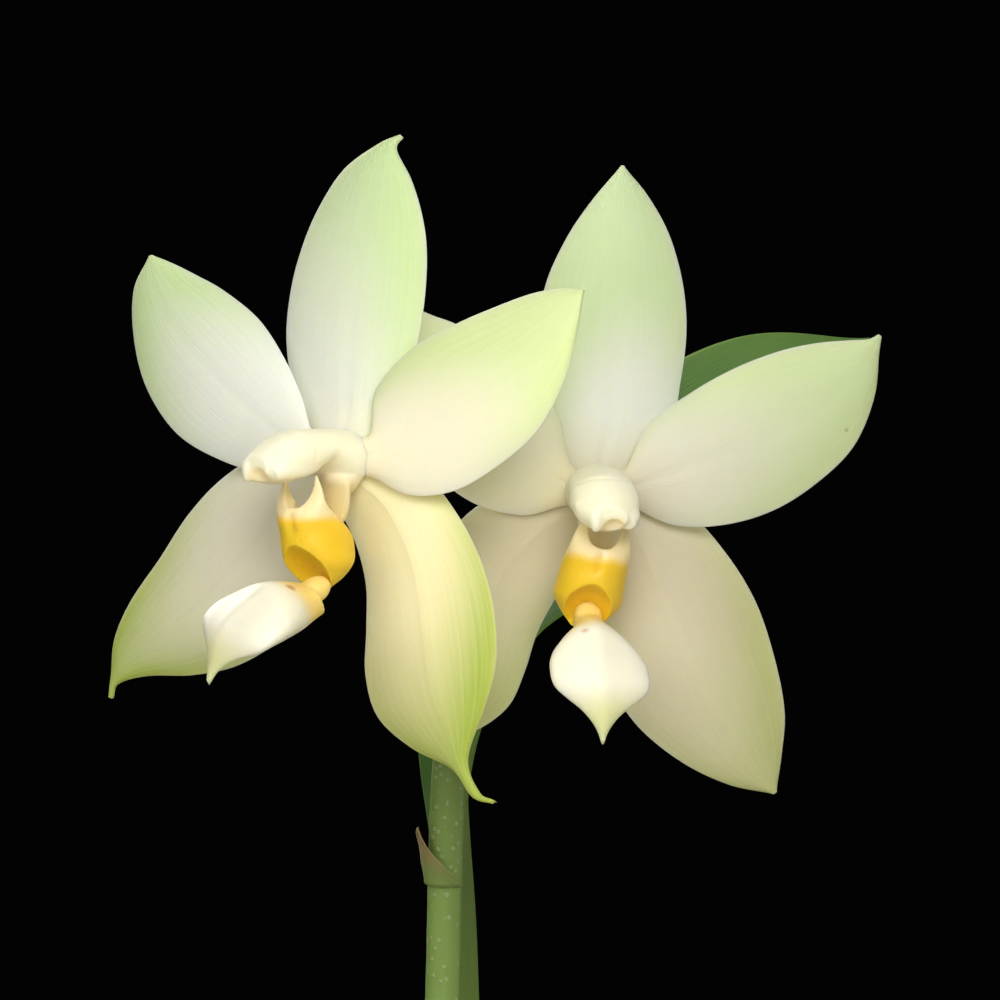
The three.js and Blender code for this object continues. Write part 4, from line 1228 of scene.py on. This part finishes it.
def scatter_tree(tree, given):
    """Chips lying on a surface, each turned, sized and shaded by a fixed draw."""
    spread = tree.node(
        "GeometryNodeDistributePointsOnFaces", {"distribute_method": "POISSON"},
        {"Mesh": given["Geometry"], "Distance Min": given["Spacing"], "Density Max": CHIP_CROWD,
         "Seed": given["Seed"]},
    )
    chips = tree.node("GeometryNodeCollectionInfo", sockets={0: given["Chips"], 1: True, 2: True})

    def draw(kind, sockets, salt, out=0):
        """A random value for each chip, drawn with its own seed."""
        sockets = {**sockets, "Seed": given["Seed"] + salt}
        return tree.node("FunctionNodeRandomValue", {"data_type": kind}, sockets, out)

    least_turn, most_turn = (-CHIP_TILT, -CHIP_TILT, 0.0), (CHIP_TILT, CHIP_TILT, 6.283)
    size = draw("FLOAT", {2: 0.55, 3: 1.15}, 3, out=1)
    laid = tree.node(
        "GeometryNodeInstanceOnPoints",
        sockets={
            "Points": spread, "Instance": chips, "Pick Instance": True,
            "Instance Index": draw("INT", {4: 0, 5: CHIP_FORMS - 1}, 5, out=2),
            "Rotation": tree.node(
                "FunctionNodeEulerToRotation",
                sockets=[draw("FLOAT_VECTOR", {0: least_turn, 1: most_turn}, 0)],
            ),
            "Scale": tree.vector(size, size, size),
        },
    )
    laid = tree.node(
        "GeometryNodeStoreNamedAttribute", {"data_type": "FLOAT", "domain": "INSTANCE"},
        {"Geometry": laid, "Name": "own", "Value": draw("FLOAT", {2: 0.0, 3: 1.0}, 7, out=1)},
    )
    laid = tree.node("GeometryNodeRealizeInstances", sockets=[laid])
    return tree.node("GeometryNodeSetMaterial", sockets={"Geometry": laid, "Material": given["Material"]})


def chip_forms(count, size, seed):
    """A collection of broken chips: the hulls of points strewn near the faces of flat boxes."""
    draw = np.random.default_rng(seed)
    forms = bpy.data.collections.new("chip_forms")
    for k in range(count):
        points = draw.uniform(-0.5, 0.5, (16, 3))
        points = np.sign(points) * np.abs(points * 2) ** 0.45 / 2
        points *= np.array([1, draw.uniform(0.5, 0.8), draw.uniform(0.22, 0.4)]) * size
        form = bmesh.new()
        for point in points:
            form.verts.new(point)
        bmesh.ops.convex_hull(form, input=form.verts)
        loose = [v for v in form.verts if not v.link_faces]
        bmesh.ops.delete(form, geom=loose, context="VERTS")
        bmesh.ops.bevel(form, geom=form.edges, offset=size * 0.02, segments=1, affect="EDGES")
        bmesh.ops.recalc_face_normals(form, faces=form.faces)
        mesh = bpy.data.meshes.new(f"chip_form_{k}")
        form.to_mesh(mesh)
        form.free()
        forms.objects.link(bpy.data.objects.new(mesh.name, mesh))
    return forms


class ORCHID_OT_pot(Operator):
    """Turns the clay pot and drills its drain holes"""

    bl_idname = "orchid.pot"
    bl_label = "Pot"

    def execute(self, context):
        pot = context.scene.orchid_pot
        points, faces = lathe(finer(pot_profile(pot), 4), 160, uneven=0.0015)
        body = make_mesh("pot_wall", points, faces, scale=1.0)
        wide = pot.hole_radius / MM
        points, faces = lathe(np.array([(0, -9), (wide, -9), (wide, 18), (0, 18)], float), 32)
        drills = []
        for k in range(pot.holes):
            turn = k / pot.holes * 2 * math.pi
            x, y = (f(turn) * pot.hole_ring / MM for f in (math.cos, math.sin))
            drills.append(make_mesh("drill", points + (x, y, 0), faces, scale=1.0))
        carve(body, drills)
        settle(body, drills)
        body.data.set_sharp_from_angle(angle=math.radians(40))
        clay = finish("clay", clay_finish, pot, Specular_IOR_Level=0.25)
        stand_in(body, "clay", clay, "pot")
        return {"FINISHED"}


class ORCHID_OT_bark(Operator):
    """Fills the pot with bark and strews chips on it"""

    bl_idname = "orchid.bark"
    bl_label = "Bark"

    def execute(self, context):
        pot = context.scene.orchid_pot
        material = finish("bark", bark_finish, pot, Specular_IOR_Level=0.2)
        low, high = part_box("bark")
        wide = high.x / MM
        foot = (pot.foot_radius - pot.wall) / MM + 0.9
        profile = np.array([(0, low.z / MM), (foot, low.z / MM), (wide, BARK_EDGE), *BARK_CROWN])
        points, faces = lathe(finer(profile, 3), 72)
        x, y, z = points.T
        # the crown is uneven, and dips by up to twice this many millimetres
        points[:, 2] -= 1.2 * (z > BARK_EDGE - 1) * (np.sin(x * 0.9) * np.cos(y * 0.8) + 1)
        filling = make_mesh("bark_filling", points, faces, {"own": np.full(len(points), 0.8)})
        stand_in(filling, "bark", material, "bark")

        reach = wide - pot.chip_size / MM * CHIP_GAP
        edge, middle = CHIP_CONE
        cone = np.array([(0, middle), (reach, edge), (0, BARK_EDGE)])
        bed = make_mesh("bark_chips", *lathe(finer(cone, 6), 40))
        shell = bmesh.new()
        shell.from_mesh(bed.data)
        under = [f for f in shell.faces if f.normal.z < 0.1]
        bmesh.ops.delete(shell, geom=under, context="FACES")
        shell.to_mesh(bed.data)
        shell.free()
        forms = chip_forms(CHIP_FORMS, pot.chip_size, pot.chip_seed)
        nodes_modifier(bed, "bark_chips", scatter_tree, {
            "Spacing": ("NodeSocketFloat", pot.chip_size * CHIP_GAP),
            "Seed": ("NodeSocketInt", pot.chip_seed),
            "Chips": ("NodeSocketCollection", forms),
            "Material": ("NodeSocketMaterial", material),
        })
        plain(bed)
        drop(*forms.objects)
        bpy.data.collections.remove(forms)
        stand_in(bed, "bark", material)
        return {"FINISHED"}


class ORCHID_OT_stem(Operator):
    """Shapes the short stem with the rings that old leaves have left"""

    bl_idname = "orchid.stem"
    bl_label = "Stem"

    def execute(self, context):
        t = np.linspace(0, 1, 90)
        profile = smooth(STEM_PROFILE, t)
        profile[:, 0] *= 1 + 0.008 * np.sin(profile[:, 1] * 2.4)
        foot, top = STEM_PROFILE[0][1], STEM_PROFILE[-1][1]
        points, faces = lathe(np.array([(0, foot), *profile, (0, top)]), 48, uneven=0.025)
        body = make_mesh("stem_body", points, faces)
        material = flesh("stem", stem_finish, context.scene.orchid_foliage, 0.0005)
        stand_in(body, "stem", material, "stem")
        return {"FINISHED"}


class ORCHID_OT_roots(Operator):
    """Grows the thick roots from the stem's collar over the bark and the rim"""

    bl_idname = "orchid.roots"
    bl_label = "Roots"

    def execute(self, context):
        lines = [(path, ROOT_GIRTH, 16 * len(path)) for path in ROOT_PATHS]
        material = flesh("root", root_finish, context.scene.orchid_foliage, 0.0006)
        body = strands("root_strands", lines, material, sides=20, bump=0.5, pitch=260)
        stand_in(body, "root", material, "roots")
        return {"FINISHED"}


class ORCHID_OT_leaves(Operator):
    """Makes the leaves, with their channel, keel, veins and waved margin"""

    bl_idname = "orchid.leaves"
    bl_label = "Leaves"

    def execute(self, context):
        foliage = context.scene.orchid_foliage
        material = flesh("leaf", leaf_finish, foliage, 0.0006, Specular_IOR_Level=0.25)
        thickness = foliage.leaf_thickness / MM

        def thick(t, s):
            """Half as thick at the margin, and thinner towards the tip"""
            return thickness * mix(1, 0.5, np.abs(s) ** 2) * mix(1, 0.6, t**4)

        for k, leaf in enumerate(LEAVES):
            surface = self.surface(leaf, k)

            def relief(t, s, front, leaf=leaf):
                half = smooth(leaf["half"], t)
                rib = np.exp(-((s * half / LEAF_RELIEF["wide"]) ** 2)) * (1 - ramp(0.75, 1, t))
                veins = np.cos(s * 60) * ramp(0.05, 0.3, np.abs(s)) * (1 - np.abs(s)) * (1 - t)
                stands_out = -LEAF_RELIEF["groove"] if front else LEAF_RELIEF["keel"]
                return stands_out * rib + LEAF_RELIEF["veins"] * veins

            shape = blade(surface, thick, rows=120, columns=44, relief=relief)
            body = make_mesh(f"{leaf['name']}_blade", *shape)
            stand_in(body, "leaf", material, leaf["name"])
        return {"FINISHED"}

    @staticmethod
    def surface(leaf, seed):
        """The middle surface of a leaf: a channel along its midrib, rolled about it and waved."""
        side = leaf["side"]

        def at(t, s):
            centre = smooth(leaf["midrib"], t)
            ahead = smooth(leaf["midrib"], np.minimum(1, t + STEP))
            behind = smooth(leaf["midrib"], np.maximum(0, t - STEP))
            along = unit(ahead - behind)
            across = unit(np.array((0, -side, 0)) + along * along[..., 1:2] * side)
            roll = np.radians(smooth(leaf["roll"], t))[..., None]
            across = across * np.cos(roll) + np.cross(along, across) * np.sin(roll)
            up = -np.cross(along, across)
            radius = smooth(leaf["channel"], t)[..., None]
            turn = (s * smooth(leaf["half"], t))[..., None] / radius
            wave = np.sin(t * 17 + s * 1.5 + seed * 2.1) * np.abs(s) ** 3 * ramp(0.2, 0.5, t) * (1 - t)
            lift = radius * (1 - np.cos(turn)) + LEAF_RELIEF["wave"] * wave[..., None]
            return centre + across * radius * np.sin(turn) + up * lift

        return at


class ORCHID_OT_spike(Operator):
    """Grows the flower spike, its bracts and the pedicels of the blooms"""

    bl_idname = "orchid.spike"
    bl_label = "Flower spike"

    def execute(self, context):
        foliage = context.scene.orchid_foliage
        material = flesh("spike", shoot_finish, foliage, 0.0008)
        line = (SPIKE_PATH, SPIKE_GIRTH, 220)
        stalk = strands("flower_spike_stalk", [line], material, sides=24, bump=0.16, pitch=420)
        stand_in(stalk, "spike", material, "flower_spike")
        stand_in(self.bracts(), "spike", flesh("bract", bract_finish, foliage, 0.0005))
        for bloom in BLOOMS:
            points, faces = swept(bloom["pedicel"], PEDICEL_GIRTH, steps=60, sides=36, ribs=0.07)
            body = make_mesh(f"{bloom['name']}_pedicel_stalk", points + bloom_centre(bloom), faces)
            stand_in(body, "spike", material, f"{bloom['name']}_pedicel")
        return {"FINISHED"}

    @staticmethod
    def bracts():
        """Scales that clasp the spike, each with its tip on its own side."""
        shapes, marks = [], {}
        for along, bearing in BRACTS:
            foot, above = smooth(SPIKE_PATH, np.array([along, along + 0.02]))
            way = unit(above - foot)
            girth = float(smooth(SPIKE_GIRTH, along))
            side = unit(np.cross(way, (0, 1, 0)))
            other = np.cross(way, side)

            def surface(t, s):
                turn = math.radians(-bearing) + s * mix(BRACT["clasp"], 0.1, t**0.7)
                reach = girth * mix(1.12, 1.3, ramp(0, 0.4, t)) + BRACT["flare"] * t**2
                rise = BRACT["length"] * t * (1 - 0.15 * s**2)
                round_spike = side * np.cos(turn)[..., None] + other * np.sin(turn)[..., None]
                return foot + way * rise[..., None] + round_spike * reach[..., None]

            def thick(t, s):
                return BRACT["thick"] - 0.16 * t

            *shape, own_marks = blade(surface, thick, rows=20, columns=24)
            shapes.append(shape)
            for key, values in own_marks.items():
                marks.setdefault(key, []).extend(values)
        return make_mesh("flower_spike_bracts", *joined(shapes), marks)


class ORCHID_OT_tepals(Operator):
    """Makes the sepals and petals of both blooms"""

    bl_idname = "orchid.tepals"
    bl_label = "Sepals and petals"

    def execute(self, context):
        settings = context.scene.orchid_bloom
        material = flesh("tepal", tepal_finish, settings, 0.0014, Specular_IOR_Level=0.3)
        thickness, veins = settings.tepal_thickness / MM, settings.vein_depth / MM

        def thick(t, s):
            """Twice as thick at the root, and half as thick at the margin"""
            swell = 1 + 1.1 * (1 - ramp(0, 0.2, t))
            return thickness * swell * mix(1, 0.5, np.abs(s) ** 3) * mix(1, 0.8, t**3)

        def relief(t, s, front):
            rib = np.exp(-((s / TEPAL_RELIEF["wide"]) ** 2)) * (1 - t)
            stands_out = -TEPAL_RELIEF["groove"] if front else TEPAL_RELIEF["keel"]
            return stands_out * rib + veins * np.cos(s * 34) * (1 - np.abs(s)) * ramp(0.02, 0.2, t)

        for bloom in BLOOMS:
            for name, tepal in bloom["tepals"].items():
                surface = self.surface(bloom, tepal)
                points, faces, marks = blade(surface, thick, rows=90, columns=40, relief=relief)
                t, s = marks["along"], marks["across"]
                start, full, side, strength = tepal["green"]
                flush = ramp(start, full, t + side * s * 0.35 + 0.22 * s**2)  # margins turn green first
                # the very margin stays a little paler
                marks["green"] = strength * flush * (1 - 0.3 * ramp(0.93, 1, np.abs(s)))
                base = 1 - ramp(0.02, 0.3, t)
                marks["warm"] = np.clip(tepal["warm"] + base * 0.25, 0, 1)
                # Share of beige, partly own dull tone and partly painted shade; near the root it takes the
                # bloom's share
                marks["dusk"] = mix(tepal["dusk"], bloom["root_dull_and_shade"], base)
                marks["low"] = np.full(len(t), float(name.startswith("lateral")))
                node = f"{bloom['name']}_{name}"
                body = make_mesh(f"{node}_blade", points, faces, marks)
                stand_in(body, "tepal", material, node)
        return {"FINISHED"}

    @staticmethod
    def surface(bloom, tepal):
        """The middle surface of a tepal, between its two edges as the eye sees them."""
        edges = np.array([tepal["left"], tepal["right"]], float)
        middle = edges[:, 0].mean(0)
        root = (edges[:, 0] - middle) * 0.8 + middle * 0.1
        left_edge, right_edge = np.concatenate([root[:, None], edges], 1)

        def at(t, s):
            left, right = smooth(left_edge, t), smooth(right_edge, t)
            x, z = np.moveaxis(mix(left, right, (s[..., None] + 1) / 2), -1, 0)
            fullness = np.linalg.norm(right - left, axis=-1) / FULL_WIDTH
            bend = tepal["bow"] * s**2 + tepal["lean"] * s + tepal["fold"] * (np.sqrt(s**2 + 0.02) - 0.5)
            wave = np.sin(t * 13 + s * 2) * np.abs(s) ** 3 * ramp(0.15, 0.4, t) * (1 - t)
            y = smooth(tepal["depth"], t) + bend * fullness + TEPAL_RELIEF["wave"] * wave + bloom["tilt"] * x
            return seen(bloom["x"] + x, bloom["z"] + z, bloom["y"] + y)

        return at


class ORCHID_OT_columns(Operator):
    """Shapes the columns, with their cap, shoulders, hollow and foot"""

    bl_idname = "orchid.columns"
    bl_label = "Columns"

    def execute(self, context):
        settings = context.scene.orchid_bloom
        material = flesh("column", column_finish, settings, 0.0022, Specular_IOR_Level=0.4)
        for bloom in BLOOMS:
            place = placed(bloom, "column")
            shapes = [
                ringed(COLUMN, self.along_column, steps=40, sides=48),
                ball(*COLUMN["foot"]),
                ball(*COLUMN["heel"]),
                *(swept(part["path"], part["girth"], steps=20, sides=20) for part in COLUMN["parts"]),
            ]
            node = f"{bloom['name']}_column"
            hollow = ball(*COLUMN["hollow"])
            body, local = fused(f"{node}_body", place, shapes, [hollow], grain=0.12, polish=8)
            x, y, z = local.T
            cap = COLUMN["cap"]
            seam = y - cap["at"] - cap["bow"] * x**2
            press(body, cap["deep"] * np.exp(-((seam / cap["wide"]) ** 2)) * ramp(-1.6, -0.4, z))
            at, size = COLUMN["hollow"]
            near = np.linalg.norm((local - at) / size, axis=1)
            write_mark(body.data, "hollow", 1 - ramp(0.95, 1.4, near))
            # Darker downwards on the foot: partly painted shade inside the tub, partly its own dull tone
            write_mark(body.data, "foot", bloom["column"]["dusk"] * ramp(-1.6, -3.6, z))
            stand_in(body, "cream", material, node)
        return {"FINISHED"}

    @staticmethod
    def along_column(across, up, t):
        return np.stack([across, -t * COLUMN["length"], up], -1)


class ORCHID_OT_lips(Operator):
    """Shapes the lips: the side lobes grown together as a tub, and the fleshy middle lobe"""

    bl_idname = "orchid.lips"
    bl_label = "Lips"

    def execute(self, context):
        settings = context.scene.orchid_bloom
        yellow = flesh("lip_yellow", tub_finish, settings, 0.0014, Specular_IOR_Level=0.4)
        white = flesh("lip_white", lobe_finish, settings, 0.002, Specular_IOR_Level=0.4)
        for bloom in BLOOMS:
            self.tub(bloom, yellow)
            self.lobe(bloom, white)
        return {"FINISHED"}

    @staticmethod
    def tub(bloom, material):
        def down_tub(across, back, t):
            z = TUB["top"] - t * TUB["height"]
            fold = TUB["fold"]
            crease = fold["deep"] * np.exp(-((across / fold["wide"]) ** 2)) * (back < 1)
            return np.stack([-across, back + crease * ramp(*fold["top"], z) * ramp(*fold["end"], z), z], -1)

        tub_skin = ringed(TUB, down_tub, steps=60, sides=72)
        cuts = [
            ball(*TUB["notch"], boxy=0.75), ball(*TUB["well"]),
            swept(TUB["groove"], TUB["groove_girth"], steps=30, sides=36),
        ]
        node = f"{bloom['name']}_lip_side_lobes"
        place = placed(bloom, "tub")
        body, local = fused(f"{node}_body", place, [tub_skin], cuts, grain=0.1, polish=18)
        x, y, z = local.T
        line = np.array(TUB["groove"])[::-1]
        middle = np.interp(z, line[:, 2], line[:, 1])
        reach = np.interp(z, line[:, 2], TUB["groove_girth"][::-1])
        # how deep in the groove each point is, as painted shade there, and painted shade deepening the
        # yellow of the left side under the collar
        groove_shade = (1 - ramp(0, 0.9, np.hypot(x, y - middle) - reach)) * ramp(-4.5, -8.5, z)
        flush = bloom["tub"]["flush"] * ramp(0.5, -0.4, x - 0.9 + (z + 3.75) * 0.5) * ramp(-3.2, -4.4, z)
        write_mark(body.data, "hollow", np.maximum(groove_shade, flush))
        write_mark(body.data, "height", z)
        # Painted shade along the crease down the front
        seam = TUB["seam"]
        line = (1 - ramp(*seam["wide"], np.abs(x))) * (y < seam["front"])
        write_mark(body.data, "seam", line * ramp(*seam["foot"], z) * (1 - ramp(*seam["top"], z)))
        stand_in(body, "yellow", material, node)

    @staticmethod
    def lobe(bloom, material):
        lobe = bloom["lobe"]
        t, s = grid(100, 40, 1.3)
        half, arch = lobe["wide"] * smooth(LOBE["half"], t), smooth(LOBE["arch"], t)
        keel = LOBE["keel"]["high"] * np.exp(-((s * half / LOBE["keel"]["wide"]) ** 2))
        keel = keel * ramp(0.08, 0.3, t) * (1 - ramp(0.8, 1, t))
        round_edge = np.sqrt(np.clip(1 - s**2, 0, 1))
        top = arch + smooth(LOBE["crown"], t) * round_edge + keel
        under = arch - smooth(LOBE["belly"], t) * round_edge
        x = half * s
        reach = lobe["long"] * LOBE["length"]
        y = -reach * t - lobe["skew"] * x
        over, below = np.stack([x, y, top], -1), np.stack([x, y, under], -1)
        shapes = [skin(wrapped(over, below)), *(ball(*bump) for bump in LOBE["bumps"])]
        node = f"{bloom['name']}_lip_middle_lobe"
        body, local = fused(f"{node}_body", placed(bloom, "lobe"), shapes, [], grain=0.12, polish=3)
        along = -local[:, 1] / reach
        write_mark(body.data, "along", along)
        write_mark(body.data, "claw", 1 - ramp(0.08, 0.27, along + 0.012 * local[:, 0]))
        spot = np.linalg.norm((local - (*lobe["spot"], LOBE["spot_top"])) / LOBE["spot"], axis=1)
        write_mark(body.data, "spot", LOBE["spot_strength"] * (1 - ramp(0.3, 1.1, spot)))
        stand_in(body, "white", material, node)


class ORCHID_OT_stage(Operator):
    """Sets the floor, the camera and soft lights"""

    bl_idname = "orchid.stage"
    bl_label = "Stage"

    def execute(self, context):
        stage = context.scene.orchid_stage
        self.floor(stage)
        camera = bpy.data.objects.new("camera", bpy.data.cameras.new("camera"))
        camera.data.lens = stage.lens
        camera.data.sensor_width = 36
        camera.data.clip_start = 0.01
        camera.location = stage.eye
        camera.rotation_euler = Euler((math.radians(90), 0, 0))
        context.scene.collection.objects.link(camera)
        context.scene.camera = camera
        for name, at, size, power, tone in LAMPS:
            lamp = bpy.data.lights.new(name, "AREA")
            lamp.shape = "DISK"
            lamp.size = size
            lamp.energy = stage.light * power
            lamp.color = tone
            obj = bpy.data.objects.new(name, lamp)
            obj.location = at
            obj.rotation_euler = (Vector(LAMP_AIM) - Vector(at)).to_track_quat("-Z", "Y").to_euler()
            obj.visible_camera = False
            context.scene.collection.objects.link(obj)
        world = bpy.data.worlds.new("room")
        world.use_nodes = True
        world.node_tree.nodes["Background"].inputs["Color"].default_value = (*stage.backdrop, 1)
        context.scene.world = world
        context.scene.view_settings.view_transform = "Standard"
        return {"FINISHED"}

    @staticmethod
    def floor(stage):
        radius = stage.floor_radius / MM
        profile = np.array([(0, -4), (radius - 2, -4), (radius, -2), (radius - 1, -0.1), (0, -0.1)])
        floor = make_mesh("floor", *lathe(profile, 128))
        floor.data.materials.append(finish("floor", floor_finish, stage, Roughness=0.7))


class ORCHID_PT_panel(Panel):
    """Lists the makers and the sizes and colours that they use"""

    bl_idname = "ORCHID_PT_panel"
    bl_label = "Potted orchid"
    bl_space_type = "VIEW_3D"
    bl_region_type = "UI"
    bl_category = "Orchid"

    def draw(self, context):
        for maker in MAKERS:
            self.layout.operator(maker.bl_idname)
        for name, group in SETTINGS.items():
            box = self.layout.box()
            box.label(text=group.__doc__)
            for key in group.__annotations__:
                box.prop(getattr(context.scene, name), key)


SETTINGS = {
    "orchid_bloom": OrchidBloomSettings,
    "orchid_foliage": OrchidFoliageSettings,
    "orchid_pot": OrchidPotSettings,
    "orchid_stage": OrchidStageSettings,
}
MAKERS = (
    ORCHID_OT_stage,
    ORCHID_OT_pot,
    ORCHID_OT_bark,
    ORCHID_OT_stem,
    ORCHID_OT_roots,
    ORCHID_OT_leaves,
    ORCHID_OT_spike,
    ORCHID_OT_tepals,
    ORCHID_OT_columns,
    ORCHID_OT_lips,
)


def register():
    for group in SETTINGS.values():
        bpy.utils.register_class(group)
    for name, group in SETTINGS.items():
        setattr(bpy.types.Scene, name, PointerProperty(type=group))
    for maker in (*MAKERS, ORCHID_PT_panel):
        bpy.utils.register_class(maker)


def unregister():
    for maker in reversed((*MAKERS, ORCHID_PT_panel)):
        bpy.utils.unregister_class(maker)
    for name in SETTINGS:
        delattr(bpy.types.Scene, name)
    for group in reversed(SETTINGS.values()):
        bpy.utils.unregister_class(group)


def main():
    register()
    for maker in MAKERS:
        _, name = maker.bl_idname.split(".")
        getattr(bpy.ops.orchid, name)()


if __name__ == "__main__":
    main()
